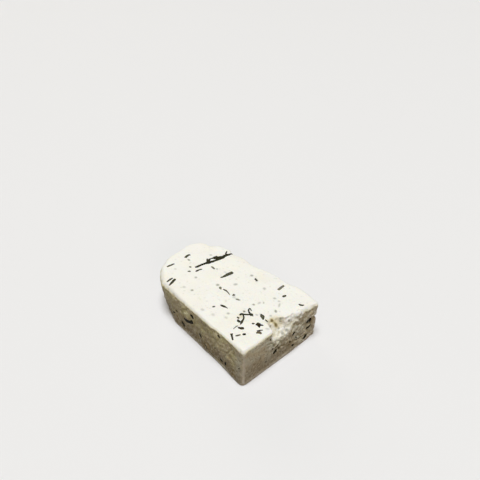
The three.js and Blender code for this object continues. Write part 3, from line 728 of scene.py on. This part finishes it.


# Curd white, a little creamy in places, ochre where whey has dried, and grey-green where a herb
# piece lies just under the surface. Painted light and shade on top of that: a warm bounce tint on
# the walls, olive on all of them and yellower on those other than the cut end; brown towards the
# foot of the walls; darker in the hollows, pits and pinholes; paler on crumb tips, the cut end's
# upright corners and the foot.
CURD_WHITE = (0.905, 0.91, 0.875, 1)
CURD_WALL_BOUNCE = (0.87, 0.89, 0.77, 1)
CURD_BOUNCE_YELLOW = (0.84, 0.80, 0.46, 1)
CURD_CREAM = (0.86, 0.82, 0.68, 1)
CURD_HOLLOW_SHADE = (0.48, 0.45, 0.29, 1)
CURD_SHADE_BROWN = (0.235, 0.148, 0.045, 1)
CURD_HIGHLIGHT = (0.94, 0.92, 0.84, 1)
CURD_BLUSH = (0.80, 0.715, 0.52, 1)
CURD_TAN = (0.70, 0.63, 0.42, 1)
CURD_OCHRE = (0.20, 0.155, 0.06, 1)
HERB_SHADOW = (0.13, 0.14, 0.10, 1)
# Each pattern in the curd: its scale and its detail, or its scale alone
CLOUDS = (55, 4)
PATCHES = (130, 5)
CRUMBS = (560, 3)
GRAIN = (900, 3)
PINHOLE_SCALE = 520
# How a pattern or a mark lays its colour on: the range that it is read over, then the weight at
# either end of that range
CREAM_OVER_CLOUDS = (0.45, 0.75, 0, 0.35)
CREAM_SHADE_IN_PINHOLES = (0.10, 0.22, 0.35, 0)
BLUSH_OVER_PATCHES = (0.42, 0.62, 0, 0.8)
LOW_SHADE_OVER_MARK = (0, 1, 0, 0.9)
PIT_SHADE_OVER_CRUMBS = (0.46, 0.36, 0, 0.42)
TIP_HIGHLIGHT_OVER_CRUMBS = (0.52, 0.66, 0, 0.6)
HOLLOW_OVER_MARK = (0, 1, 0, 0.55)
TAN_OVER_OCHRE = (0, 0.4, 0, 1)
OCHRE_OVER_OCHRE = (0.4, 1, 0, 1)
ROUGHNESS_OVER_GRAIN = (0.3, 0.7, 0.42, 0.62)
DEPTH_OVER_PINHOLES = (0.05, 0.3, 0, 1)
# Relief too fine for the mesh: strength, depth in metres
CRUMB_RELIEF = (0.6, 0.0009)
GRAIN_RELIEF = (0.25, 0.0004)
PINHOLE_RELIEF = (0.35, 0.0003)


def curd_material():
    material, tree, shader = nodes_of("brined_curd")
    place = add_node(tree, "ShaderNodeTexCoord").outputs["Object"]
    clouds, grain = noise(tree, place, *CLOUDS), noise(tree, place, *GRAIN)
    patches, crumbs = noise(tree, place, *PATCHES), noise(tree, place, *CRUMBS)
    cells = add_node(tree, "ShaderNodeTexVoronoi", {"Vector": place, "Scale": PINHOLE_SCALE})
    pinholes = cells.outputs["Distance"]
    wall, ochre = read_mark(tree, "wall"), read_mark(tree, "ochre")

    # Painted warm bounce light: olive on the walls, yellower on the walls other than the cut end.
    colour = mix_colours(tree, wall, CURD_WHITE, CURD_WALL_BOUNCE)
    colour = mix_colours(tree, read_mark(tree, "warm_bounce"), colour, CURD_BOUNCE_YELLOW)
    colour = mix_colours(tree, spread(tree, clouds, *CREAM_OVER_CLOUDS), colour, CURD_CREAM)
    # Painted shade: the pinhole pits painted creamier and darker.
    colour = mix_colours(tree, spread(tree, pinholes, *CREAM_SHADE_IN_PINHOLES), colour, CURD_CREAM)
    blush = product(tree, spread(tree, patches, *BLUSH_OVER_PATCHES), wall)
    colour = mix_colours(tree, blush, colour, CURD_BLUSH)
    # Painted shade: the walls darker and browner towards the foot.
    low_shade = spread(tree, read_mark(tree, "low_shade"), *LOW_SHADE_OVER_MARK)
    colour = mix_colours(tree, low_shade, colour, CURD_SHADE_BROWN)
    # Painted shade in the low spots of the crumb relief, and painted highlight on its tips.
    pits = product(tree, spread(tree, crumbs, *PIT_SHADE_OVER_CRUMBS), wall)
    colour = mix_colours(tree, pits, colour, CURD_SHADE_BROWN)
    tips = product(tree, spread(tree, crumbs, *TIP_HIGHLIGHT_OVER_CRUMBS), wall)
    colour = mix_colours(tree, tips, colour, CURD_CREAM)
    # Painted highlight where light catches the cut end's upright corners and the foot.
    colour = mix_colours(tree, read_mark(tree, "highlight"), colour, CURD_HIGHLIGHT)
    # Painted shade in the hollows, pores and cracks, and in the seam round the pebble.
    hollow = spread(tree, read_mark(tree, "hollow"), *HOLLOW_OVER_MARK)
    colour = mix_colours(tree, hollow, colour, CURD_HOLLOW_SHADE)
    colour = mix_colours(tree, spread(tree, ochre, *TAN_OVER_OCHRE), colour, CURD_TAN)
    colour = mix_colours(tree, spread(tree, ochre, *OCHRE_OVER_OCHRE), colour, CURD_OCHRE)
    colour = mix_colours(tree, read_mark(tree, "sunk_herb"), colour, HERB_SHADOW)
    tree.links.new(colour, shader.inputs["Base Color"])
    roughness = spread(tree, grain, *ROUGHNESS_OVER_GRAIN)
    tree.links.new(roughness, shader.inputs["Roughness"])
    shader.inputs["Subsurface Weight"].default_value = 0.25
    shader.inputs["Subsurface Radius"].default_value = (1.0, 0.8, 0.5)
    shader.inputs["Subsurface Scale"].default_value = 0.0015
    shader.inputs["Specular IOR Level"].default_value = 0.35

    surface = relief(tree, product(tree, crumbs, wall), *CRUMB_RELIEF)
    surface = relief(tree, grain, *GRAIN_RELIEF, surface)
    surface = relief(tree, spread(tree, pinholes, *DEPTH_OVER_PINHOLES), *PINHOLE_RELIEF, surface)
    tree.links.new(surface, shader.inputs["Normal"])
    return material


block = build_block()
block.data.materials.append(curd_material())
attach(block, "root")
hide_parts("cheese_block")

# Long stems of the herbs: dried chive threads that were stirred into the curd and cut through
# with the block, so that they lie level with its faces.
STEM_RISE = 0.16
STEM_DEPTH = 0.7
STEM_RAGGED = 0.16

# Each row is how pale the piece is, then places along it (two directions of its face, and its
# width there) and, where it isn't the usual, how much paler its middle is.
TOP_STEMS = [
    (0.0, [(-30.8, -5.6, 1.8), (-30.4, -3.2, 2.3), (-30.0, -0.6, 2.2), (-29.5, 1.6, 2.3),
           (-28.9, 3.8, 2.5), (-28.4, 5.2, 3.0), (-27.7, 7.4, 2.6), (-27.0, 10.0, 2.1),
           (-26.8, 12.5, 3.0), (-26.9, 15.0, 3.4), (-26.7, 18.0, 3.5), (-27.1, 20.5, 3.1),
           (-26.5, 23.0, 2.7), (-25.8, 25.3, 2.1), (-25.3, 27.3, 1.4)]),
    (0.04, [(-31.2, 15.6, 1.3), (-30.0, 13.2, 3.8), (-30.7, 11.0, 1.8), (-31.1, 8.8, 1.7),
            (-30.2, 6.8, 2.5), (-28.7, 5.4, 2.5)]),
    (0.08, [(-32.9, 7.6, 1.0), (-31.2, 6.4, 1.9), (-29.2, 5.8, 2.0)]),
    (0.0, [(-30.2, 13.6, 2.9), (-28.5, 15.2, 3.6), (-27.6, 18.2, 2.7)]),
    (0.12, [(-28.3, 22.2, 1.5), (-29.8, 24.0, 1.2), (-30.9, 25.8, 0.9)]),
    (0.12, [(34.0, -5.9, 0.6), (32.4, -5.2, 0.8), (31.5, -5.4, 1.0), (32.3, -6.9, 1.0),
            (33.9, -7.9, 1.1), (35.6, -8.3, 1.4)]),
    (0.05, [(32.1, -14.7, 1.2), (32.3, -13.0, 1.8), (33.5, -11.9, 1.5), (34.8, -10.8, 1.4),
            (35.8, -9.4, 1.5), (36.7, -8.5, 2.8), (38.6, -8.5, 0.6)]),
    (0.08, [(33.5, -12.8, 1.1), (35.2, -13.7, 1.1), (36.7, -15.2, 1.3), (37.4, -16.5, 1.5),
            (38.1, -17.9, 1.6), (39.3, -20.0, 0.8)]),
    (0.28, [(46.6, -5.1, 0.7), (47.6, -4.9, 1.2), (48.7, -4.9, 0.6)]),
    (0.34, [(3.8, -5.9, 0.7), (5.2, -5.6, 1.3), (7.0, -5.4, 1.1), (9.6, -5.9, 0.7),
            (12.4, -6.7, 0.4)]),
    (0.50, [(39.0, -25.8, 0.5), (38.8, -24.5, 0.6), (38.7, -22.9, 0.8), (39.1, -21.9, 0.7)]),
]
STRAIGHT_SIDE_STEMS = [
    (0.0, [(-5.7, 12.8, 1.5), (-3.0, 13.8, 2.7), (0.2, 15.1, 3.1), (3.4, 16.7, 3.0),
           (5.4, 18.2, 2.8),
           (6.4, 18.8, 1.2)]),
]
# Each face that carries herbs: its two directions and the way out of it
FACES = {
    "top": ((1, 0, 0), (0, 1, 0), (0, 0, 1)),
    "cut_end": ((0, 1, 0), (0, 0, 1), (1, 0, 0)),
    "straight_side": ((1, 0, 0), (0, 0, 1), (0, -1, 0)),
    "wavy_side": ((-1, 0, 0), (0, 0, 1), (0, 1, 0)),
    "moulded_end": ((0, -1, 0), (0, 0, 1), (-1, 0, 0)),
}
# How far the rows of the three faces that show are moved along those two directions
FACE_SHIFT = {"top": (0.75, -0.15), "straight_side": (0.75, 0), "cut_end": (-0.15, 0)}
USUAL_MIDDLE = 0.10
PATH_STEP = 0.55
LEAST_WIDTH = 0.3
NARROW_PIECE = 1.8
NARROW_COLUMNS = 5
WIDE_COLUMNS = 7
SIDEWAYS_LEAN = 0.12
EDGE_DROP = 0.75
MIDDLE_REACH = 1.2
SHADE_SCATTER = 0.03
FEWEST_RINGS = 3
CASTING_HEIGHT = 90


def curd_surface():
    """The finished curd, in millimetres, for laying pieces on it."""
    mesh = block.data
    points = np.empty(len(mesh.vertices) * 3, np.float32)
    mesh.vertices.foreach_get("co", points)
    points = points.reshape(-1, 3) * 1000 - [*PLAN_SHIFT, 0]
    return BVHTree.FromPolygons(points.tolist(), [tuple(face.vertices) for face in mesh.polygons])


curd = curd_surface()


def drop_on(face, u, v):
    """Where a line straight into the face meets the curd, and the curd's direction there."""
    along, across, out = (Vector(axis) for axis in FACES[face])
    start = along * u + across * v + out * CASTING_HEIGHT
    place, normal, _, _ = curd.ray_cast(start, -out)
    return place, normal


def strip_path(row):
    """Even steps along a piece, with the heading of each."""
    line = np.array(row[1], float)
    length = np.hypot(*np.diff(line[:, :2], axis=0).T).sum()
    steps = max(2, int(math.ceil(length / PATH_STEP / max(1, len(line) - 1))))
    path = smooth_line(line, steps)
    path[:, 2] = np.maximum(path[:, 2], LEAST_WIDTH)
    heading = np.gradient(path[:, :2], axis=0)
    return path, heading / np.hypot(*heading.T)[:, None]


def herb_strip(parts, face, row, rise, depth, ragged, draw):
    """Adds one piece: a strip that follows the face, level with it, thickest along its middle."""
    vertices, polygons, shades = parts
    pale = row[0]
    middle = row[2] if len(row) > 2 else USUAL_MIDDLE
    shift_u, shift_v = FACE_SHIFT.get(face, (0, 0))
    path, heading = strip_path(row)
    columns = NARROW_COLUMNS if path[:, 2].max() < NARROW_PIECE else WIDE_COLUMNS
    across = np.linspace(-1, 1, columns)
    rings = []
    for (u, v, width), (hu, hv) in zip(path, heading):
        half = width / 2 * (1 + draw.uniform(-ragged, ragged))
        lean = draw.uniform(-SIDEWAYS_LEAN, SIDEWAYS_LEAN) * half
        offsets = across * half + lean
        places = [drop_on(face, u + shift_u - hv * d, v + shift_v + hu * d) for d in offsets]
        if any(place is None for place, _ in places):
            break
        ring = []
        for a, (place, normal) in zip(across, places):
            lighter = middle * (1 - a * a) * min(half, MIDDLE_REACH)
            ring.append((place + normal * rise * (1 - EDGE_DROP * a * a), pale + lighter))
        (left, _), (right, _), (_, normal) = places[0], places[-1], places[columns // 2]
        ring += [(right - normal * depth, pale), (left - normal * depth, pale)]
        rings.append(ring)
    if len(rings) < FEWEST_RINGS:
        return
    first = len(vertices)
    size = columns + 2
    for ring in rings:
        for place, shade in ring:
            vertices.append(place)
            shades.append(shade + draw.uniform(-SHADE_SCATTER, SHADE_SCATTER))
    for step in range(len(rings) - 1):
        for k in range(size):
            a = first + step * size + k
            b = first + step * size + (k + 1) % size
            polygons.append((b, a, a + size, b + size))
    polygons.append(tuple(first + k for k in range(size)))
    polygons.append(tuple(first + (len(rings) - 1) * size + k for k in reversed(range(size))))


def herb_piece(name, placed, rise, depth, ragged, seed, material):
    """One mesh of all the pieces of a kind."""
    parts = ([], [], [])
    draw = np.random.default_rng(seed)
    for face, rows in placed:
        for row in rows:
            herb_strip(parts, face, row, rise, depth, ragged, draw)
    vertices, polygons, shades = parts
    mesh = bpy.data.meshes.new(name)
    shift = Vector((*PLAN_SHIFT, 0))
    mesh.from_pydata([(place + shift) * 0.001 for place in vertices], [], polygons)
    mesh.polygons.foreach_set("use_smooth", [True] * len(polygons))
    layer = mesh.attributes.new("paleness", "FLOAT", "POINT")
    layer.data.foreach_set("value", np.clip(shades, 0, 1).astype(np.float32))
    mesh.materials.append(material)
    mesh.update()
    piece = bpy.data.objects.new(name, mesh)
    bpy.context.scene.collection.objects.link(piece)
    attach(piece, "root")
    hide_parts("cheese_block")


FIBRE = (1500, 2)
FIBRE_RELIEF = (0.4, 0.0002)
DARK_OVER_FIBRE = (0.35, 0.65, 0.25, 0)
GREY_OVER_PALENESS = (0, 0.4, 0, 1)
LIGHT_OVER_PALENESS = (0.4, 1, 0, 1)


def herb_material(name, dark, middle, light, roughness):
    """Dried leaf: near black where it is bare, greyer where a film of curd lies over it."""
    material, tree, shader = nodes_of(name)
    pale = read_mark(tree, "paleness")
    fibre = noise(tree, add_node(tree, "ShaderNodeTexCoord").outputs["Object"], *FIBRE)
    colour = mix_colours(tree, spread(tree, pale, *GREY_OVER_PALENESS), dark, middle)
    colour = mix_colours(tree, spread(tree, pale, *LIGHT_OVER_PALENESS), colour, light)
    colour = mix_colours(tree, spread(tree, fibre, *DARK_OVER_FIBRE), colour, dark)
    tree.links.new(colour, shader.inputs["Base Color"])
    shader.inputs["Roughness"].default_value = roughness
    shader.inputs["Specular IOR Level"].default_value = 0.03
    tree.links.new(relief(tree, fibre, *FIBRE_RELIEF), shader.inputs["Normal"])
    return material


CHIVE_DARK = (0.007, 0.007, 0.002, 1)
CHIVE_GREY = (0.100, 0.100, 0.062, 1)
CHIVE_PALE = (0.52, 0.52, 0.43, 1)
CHIVE_ROUGHNESS = 0.55
chive = herb_material("dried_chive", CHIVE_DARK, CHIVE_GREY, CHIVE_PALE, CHIVE_ROUGHNESS)
stems = [("top", TOP_STEMS), ("straight_side", STRAIGHT_SIDE_STEMS)]
herb_piece("chive_stems", stems, STEM_RISE, STEM_DEPTH, STEM_RAGGED, 3, chive)

# Chopped lengths of chive, 2 to 10 mm long and up to 3.5 mm wide, with blunt cut ends. They are
# pressed flat and lie level with the faces. The hidden faces carry as many as the ones that show.
CUT_RISE = 0.14
CUT_DEPTH = 0.7
CUT_RAGGED = 0.10
TOP_CUTS = [
    (0.20, [(-46.8, 1.0, 2.0), (-47.1, -1.0, 2.2), (-46.5, -2.8, 2.1), (-45.6, -4.3, 2.0)]),
    (0.42, [(-34.6, -8.6, 0.9), (-33.8, -8.1, 1.6), (-32.8, -7.9, 1.0)]),
    (0.10, [(-26.0, -8.5, 1.1), (-26.1, -7.1, 2.0), (-26.2, -5.7, 1.5)]),
    (0.34, [(-26.2, -5.9, 1.3), (-25.7, -4.3, 1.5), (-25.1, -3.1, 0.9)]),
    (0.50, [(-23.0, 4.0, 1.1), (-20.5, 4.2, 1.6), (-18.8, 3.8, 1.1)]),
    (0.34, [(-45.9, -21.4, 1.2), (-45.8, -19.6, 2.0), (-45.7, -17.2, 2.0), (-45.4, -14.8, 1.2)]),
    (0.14, [(-30.5, -31.3, 1.0), (-30.8, -29.5, 1.6), (-31.1, -27.5, 1.7), (-31.1, -25.8, 1.0)]),
    (0.14, [(-25.9, -32.2, 1.2), (-26.6, -30.3, 1.8), (-27.9, -27.4, 2.3), (-28.9, -24.9, 1.7)]),
    (0.10, [(-7.7, 0.8, 1.0), (-7.0, 2.5, 1.9), (-6.9, 5.3, 2.6), (-6.8, 8.1, 3.1),
            (-6.6, 10.4, 3.2),
            (-6.4, 11.6, 2.7)], 0.26),
    (0.50, [(0.2, -5.8, 1.6), (1.5, -6.6, 1.9), (2.9, -7.1, 0.9)]),
    (0.16, [(10.3, 19.2, 0.9), (11.4, 18.4, 1.5), (12.3, 18.4, 1.2), (13.6, 17.7, 1.9)]),
    (0.34, [(30.1, 28.8, 1.6), (30.3, 26.6, 2.0), (30.4, 24.5, 2.0), (30.7, 22.4, 1.8)], 0.26),
    (0.22, [(38.4, 22.5, 1.1), (38.2, 21.0, 2.1), (38.1, 19.5, 1.3)]),
    (0.0, [(51.0, 21.9, 0.8), (52.2, 22.1, 1.7), (53.3, 22.8, 1.5), (53.9, 24.1, 0.6)]),
    (0.04, [(40.6, -3.4, 0.9), (42.1, -3.8, 2.2), (43.7, -4.5, 2.5), (44.8, -5.3, 1.6),
            (45.8, -6.1, 0.7)], 0.36),
    (0.32, [(46.0, -25.6, 0.7), (45.5, -26.8, 1.2), (45.2, -27.8, 1.3), (44.6, -28.6, 1.1)]),
    (0.08, [(41.2, -29.2, 1.9), (42.5, -30.0, 1.3), (44.5, -31.2, 1.2), (46.3, -32.2, 0.9)]),
    (0.04, [(15.5, -17.6, 0.8), (16.9, -17.1, 1.5), (18.3, -16.7, 1.7), (19.7, -16.3, 1.0),
            (21.6, -16.2, 0.4)]),
]
CUT_END_CUTS = [
    (0.0, [(-8.9, 10.9, 1.0), (-7.9, 11.1, 1.9), (-6.9, 11.5, 2.0), (-5.9, 11.7, 1.8),
           (-5.1, 11.9, 0.8)]),
    (0.14, [(-9.5, 15.0, 0.9), (-9.1, 15.6, 1.7), (-8.8, 16.1, 1.0)]),
    (0.45, [(-6.5, 15.0, 0.9), (-5.5, 15.7, 1.4), (-4.5, 16.3, 0.9)]),
    (0.0, [(20.9, 3.4, 1.6), (22.2, 3.9, 3.2), (23.7, 4.5, 3.4), (25.2, 4.8, 2.0)]),
    (0.0, [(24.0, 16.3, 1.2), (25.1, 16.6, 2.1), (26.5, 16.8, 2.9), (27.8, 16.9, 3.3),
           (29.0, 16.8, 1.4)]),
    (0.10, [(23.7, 10.5, 1.2), (24.9, 11.2, 2.1), (26.5, 11.8, 2.1), (28.4, 12.6, 1.4)]),
]
STRAIGHT_SIDE_CUTS = [
    (0.14, [(-9.6, 8.8, 1.3), (-8.6, 7.7, 2.4), (-7.2, 6.8, 2.5), (-6.0, 5.4, 1.3)]),
    (0.04, [(3.8, 24.3, 1.2), (4.8, 23.6, 2.5), (5.9, 22.8, 3.0), (6.7, 21.9, 1.2)]),
    (0.06, [(12.6, 12.6, 1.4), (13.2, 11.5, 2.9), (13.9, 10.5, 3.4), (14.3, 9.7, 1.3)]),
    (0.0, [(34.4, 5.0, 1.3), (36.1, 5.6, 2.6), (37.8, 6.3, 1.8)]),
    (0.05, [(40.6, 5.5, 1.3), (41.2, 7.2, 1.8), (41.7, 8.8, 1.1)]),
    (0.16, [(33.3, 26.0, 1.0), (34.5, 26.1, 2.1), (35.8, 25.9, 1.1)]),
]
HIDDEN_SEED = 41
HIDDEN_PLACE = (0.2, 0.6)
HIDDEN_LENGTH = (1.8, 6.5)
HIDDEN_WIDTH = (1.5, 2.5)
HIDDEN_ENDS = 0.6
HIDDEN_BEND = 0.1
HIDDEN_PALE = 0.35


def hidden_cuts(count, salt, u_range, v_range):
    """Chive cuts spread over a face turned away."""
    rows = []
    for i in range(count):
        draws = [float(scatter(i, k, HIDDEN_SEED, salt)) for k in range(5)]
        length = between(HIDDEN_LENGTH, draws[2] ** 2)
        turn = math.pi * draws[3]
        u = between(u_range, (i + HIDDEN_PLACE[0] + HIDDEN_PLACE[1] * draws[0]) / count)
        v = between(v_range, draws[1])
        width = between(HIDDEN_WIDTH, draws[4])
        end = width * HIDDEN_ENDS
        du, dv = math.cos(turn) * length / 2, math.sin(turn) * length / 2
        middle = (u + dv * HIDDEN_BEND, v - du * HIDDEN_BEND, width)
        pale = HIDDEN_PALE * draws[0] * draws[1]
        rows.append((pale, [(u - du, v - dv, end), middle, (u + du, v + dv, end)]))
    return rows


cuts = [("top", TOP_CUTS), ("cut_end", CUT_END_CUTS), ("straight_side", STRAIGHT_SIDE_CUTS),
        ("wavy_side", hidden_cuts(14, 5, (-52, 34), (5, 24))),
        ("moulded_end", hidden_cuts(6, 9, (-14, 20), (7, 22)))]
herb_piece("chive_cuts", cuts, CUT_RISE, CUT_DEPTH, CUT_RAGGED, 5, chive)

# Small flecks of the same herb, 1 to 3 mm, some of them bare and dark, some half sunk and grey.
# They are crumbs of the dried leaf, stirred in with the longer cuts and held by the curd.
FLECK_RISE = 0.10
FLECK_DEPTH = 0.5
FLECK_RAGGED = 0.22
TOP_FLECKS = [
    (0.34, [(-30.1, -13.0, 1.0), (-29.5, -12.0, 1.8), (-28.7, -11.2, 1.0)]),
    (0.34, [(13.2, -4.0, 0.7), (14.2, -4.7, 2.1), (15.0, -5.0, 1.1)]),
    (0.60, [(18.4, -6.3, 0.7), (19.8, -5.7, 1.1), (21.1, -5.4, 0.7)]),
    (0.32, [(13.5, -23.1, 0.8), (14.0, -22.3, 1.5), (14.1, -21.2, 0.9)]),
    (0.18, [(32.5, -17.3, 0.9), (33.4, -17.0, 1.5), (34.7, -17.4, 0.7)]),
    (0.05, [(34.7, -18.4, 0.9), (36.1, -18.9, 1.9), (37.5, -18.8, 1.2)]),
    (0.70, [(31.0, -9.4, 0.9), (31.5, -10.1, 1.3), (32.1, -10.4, 0.8)]),
    (0.20, [(43.5, -13.9, 0.8), (43.9, -13.2, 1.6), (44.6, -12.6, 0.8)]),
    (0.02, [(46.9, -24.7, 0.9), (47.1, -23.7, 1.8), (47.7, -22.7, 1.1)]),
]
CUT_END_FLECKS = [
    (0.35, [(-10.9, 25.4, 0.8), (-10.4, 24.4, 1.1), (-10.3, 23.4, 0.8)]),
    (0.12, [(9.0, 15.4, 1.3), (9.8, 16.1, 2.9), (10.6, 16.7, 2.9), (11.5, 17.4, 1.2)]),
    (0.12, [(9.2, 5.0, 1.3), (9.9, 5.6, 2.5), (10.9, 5.8, 1.4)]),
    (0.30, [(-8.8, 17.6, 0.8), (-8.3, 17.9, 1.3), (-7.9, 18.1, 0.8)]),
    (0.70, [(12.3, 9.5, 0.7), (13.1, 9.3, 1.1), (13.8, 9.2, 0.7)]),
    (0.50, [(-4.0, 11.4, 0.7), (-3.2, 12.0, 1.1), (-2.5, 12.4, 0.7)]),
    (0.50, [(12.2, 11.4, 0.6), (13.1, 10.8, 1.0), (14.1, 9.5, 0.7)]),
    (0.40, [(5.9, 11.2, 0.7), (7.0, 10.8, 1.3), (7.7, 10.9, 0.8)]),
    (0.65, [(-15.9, 8.9, 0.9), (-14.7, 7.9, 1.3)]),
    (0.60, [(-2.6, 8.8, 0.8), (-1.9, 7.9, 1.1)]),
]
STRAIGHT_SIDE_FLECKS = [
    (0.24, [(18.3, 7.1, 1.1), (19.3, 6.2, 1.9), (20.4, 5.3, 2.1), (21.1, 4.2, 0.9)]),
    (0.20, [(-21.1, 9.1, 0.9), (-19.2, 10.1, 1.6), (-17.9, 10.4, 0.9)]),
    (0.28, [(-16.1, 14.8, 1.1), (-15.3, 14.0, 1.8), (-14.8, 13.1, 0.9)]),
    (0.55, [(54.2, 13.4, 0.9), (55.6, 15.0, 1.1)]),
    (0.50, [(29.8, 12.0, 0.8), (30.9, 13.0, 1.1)]),
    (0.55, [(25.6, 3.4, 0.9), (26.8, 4.2, 1.1)]),
]


HIDDEN_FLECK_HALF = (0.5, 1.2)
HIDDEN_FLECK_WIDTH = (0.9, 1.9)
HIDDEN_FLECK_ENDS = (0.8, 0.7)
HIDDEN_FLECK_PALE = 0.6


def hidden_flecks(count, salt, u_range, v_range):
    """Flecks spread over a face turned away."""
    rows = []
    for i in range(count):
        draws = [float(scatter(i, k, HIDDEN_SEED, salt)) for k in range(5)]
        u = between(u_range, (i + draws[0]) / count)
        v = between(v_range, draws[1])
        turn, half = math.pi * draws[2], between(HIDDEN_FLECK_HALF, draws[3])
        du, dv = math.cos(turn) * half, math.sin(turn) * half
        middle = (u, v, between(HIDDEN_FLECK_WIDTH, draws[3]))
        first, last = HIDDEN_FLECK_ENDS
        pale = HIDDEN_FLECK_PALE * draws[4]
        rows.append((pale, [(u - du, v - dv, first), middle, (u + du, v + dv, last)]))
    return rows


flecks = [("top", TOP_FLECKS), ("cut_end", CUT_END_FLECKS), ("straight_side", STRAIGHT_SIDE_FLECKS),
          ("wavy_side", hidden_flecks(16, 15, (-52, 34), (4, 26))),
          ("moulded_end", hidden_flecks(7, 19, (-16, 22), (5, 25)))]
herb_piece("herb_flecks", flecks, FLECK_RISE, FLECK_DEPTH, FLECK_RAGGED, 7, chive)

# Brown bits near the cut end: dried ends and skins of the herb, dark brown with a lighter rim.
# They lie in the curd like the chive, and stand a little further out of it.
BIT_RISE = 0.16
BIT_DEPTH = 0.6
BIT_RAGGED = 0.18
TOP_BITS = [
    (0.0, [(45.8, -12.7, 0.8), (46.3, -11.9, 2.2), (47.1, -11.2, 3.2), (48.1, -10.7, 1.8),
           (49.7, -9.6, 0.6)]),
    (0.0, [(45.1, -10.3, 0.8), (46.6, -11.1, 1.7), (48.2, -11.9, 1.5), (49.4, -12.7, 0.5)]),
    (0.05, [(50.3, -15.8, 0.9), (50.7, -15.0, 1.2), (51.5, -13.6, 1.0), (52.3, -12.4, 0.5)]),
    (0.36, [(51.1, -17.2, 0.8), (51.6, -16.4, 1.5), (52.1, -15.5, 2.0), (53.4, -15.3, 1.4),
            (54.1, -15.3, 0.7)]),
    (0.04, [(40.0, -22.7, 1.0), (41.3, -22.1, 1.6), (42.3, -21.4, 2.3), (43.1, -20.3, 1.5)]),
]
SKIN_DARK = (0.012, 0.007, 0.002, 1)
SKIN_BROWN = (0.115, 0.090, 0.050, 1)
SKIN_PALE = (0.40, 0.34, 0.23, 1)
SKIN_ROUGHNESS = 0.5
brown_skin = herb_material("brown_skin", SKIN_DARK, SKIN_BROWN, SKIN_PALE, SKIN_ROUGHNESS)
herb_piece("brown_bits", [("top", TOP_BITS)], BIT_RISE, BIT_DEPTH, BIT_RAGGED, 9, brown_skin)


# Floor, light and camera: a plain pale sheet, a dim warm surround behind a pale backdrop, three
# soft far lamps, and the viewpoint of the picture, worked out from the block's own straight edges.
FLOOR_HALF = 20
FLOOR_COLOUR = (0.82, 0.83, 0.86, 1)
FLOOR_ROUGHNESS = 0.9
corners = [(FLOOR_HALF * x, FLOOR_HALF * y, 0) for x, y in ((-1, -1), (1, -1), (1, 1), (-1, 1))]
floor_mesh = bpy.data.meshes.new("pale_floor")
floor_mesh.from_pydata(corners, [], [(0, 1, 2, 3)])
floor = bpy.data.objects.new("pale_floor", floor_mesh)
bpy.context.scene.collection.objects.link(floor)
floor_material, _, floor_shader = nodes_of("pale_floor")
floor_shader.inputs["Base Color"].default_value = FLOOR_COLOUR
floor_shader.inputs["Roughness"].default_value = FLOOR_ROUGHNESS
floor_mesh.materials.append(floor_material)
floor.visible_diffuse = False

SURROUND_ABOVE = (0.08, 0.065, 0.01, 1)
SURROUND_BELOW = (0.065, 0.035, 0, 1)
SURROUND_TURN = (-0.15, 0.15)
BACKDROP = (0.82, 0.82, 0.81, 1)
world = bpy.data.worlds.new("studio")
bpy.context.scene.world = world
world.use_nodes = True
sky = world.node_tree
way = add_node(sky, "ShaderNodeTexCoord").outputs["Generated"]
height = add_node(sky, "ShaderNodeSeparateXYZ", {0: way}).outputs["Z"]
glow = mix_colours(sky, spread(sky, height, *SURROUND_TURN), SURROUND_BELOW, SURROUND_ABOVE)
seen = add_node(sky, "ShaderNodeLightPath").outputs["Is Camera Ray"]
sky.links.new(mix_colours(sky, seen, glow, BACKDROP), sky.nodes["Background"].inputs["Color"])


def direction(azimuth, elevation):
    """The way to a point at these angles, in radians."""
    flat = math.cos(elevation)
    return Vector((flat * math.cos(azimuth), flat * math.sin(azimuth), math.sin(elevation)))


def add_sun(name, azimuth, elevation, softness, strength, colour):
    """A soft far lamp. The azimuth is the side that the light comes from."""
    data = bpy.data.lights.new(name, "SUN")
    data.energy, data.angle, data.color = strength, math.radians(softness), colour
    sun = bpy.data.objects.new(name, data)
    toward = direction(math.radians(azimuth), math.radians(elevation))
    sun.rotation_euler = toward.to_track_quat("Z", "Y").to_euler()
    bpy.context.scene.collection.objects.link(sun)


add_sun("key", -40, 84, 25, 2.82, (0.985, 0.99, 1))
add_sun("fill", -22, 20, 30, 0.385, (1, 0.81, 0.76))
add_sun("back", 160, 22, 30, 0.3, (1, 0.9, 0.8))

CAMERA_AT = (199.62, -149.98, 232.46)
CAMERA_HEADING = 140.437
CAMERA_PITCH = -33.556
CAMERA_ROLL = -1.694
LENS = 33.0
SENSOR = 36
NEAREST = 0.01
heading, pitch, roll = (math.radians(v) for v in (CAMERA_HEADING, CAMERA_PITCH, CAMERA_ROLL))
forward = direction(heading, pitch)
level = Vector((math.sin(heading), -math.cos(heading), 0))
upright = level.cross(forward)
right = level * math.cos(roll) + upright * math.sin(roll)
camera_up = right.cross(forward)
camera_data = bpy.data.cameras.new("camera")
camera_data.lens = LENS
camera_data.sensor_width = SENSOR
camera_data.clip_start = NEAREST
camera = bpy.data.objects.new("camera", camera_data)
turned = Matrix((right, camera_up, -forward)).transposed().to_4x4()
camera.matrix_world = Matrix.Translation(Vector(CAMERA_AT) * 0.001) @ turned
bpy.context.scene.collection.objects.link(camera)
bpy.context.scene.camera = camera
bpy.context.scene.view_settings.view_transform = "Standard"
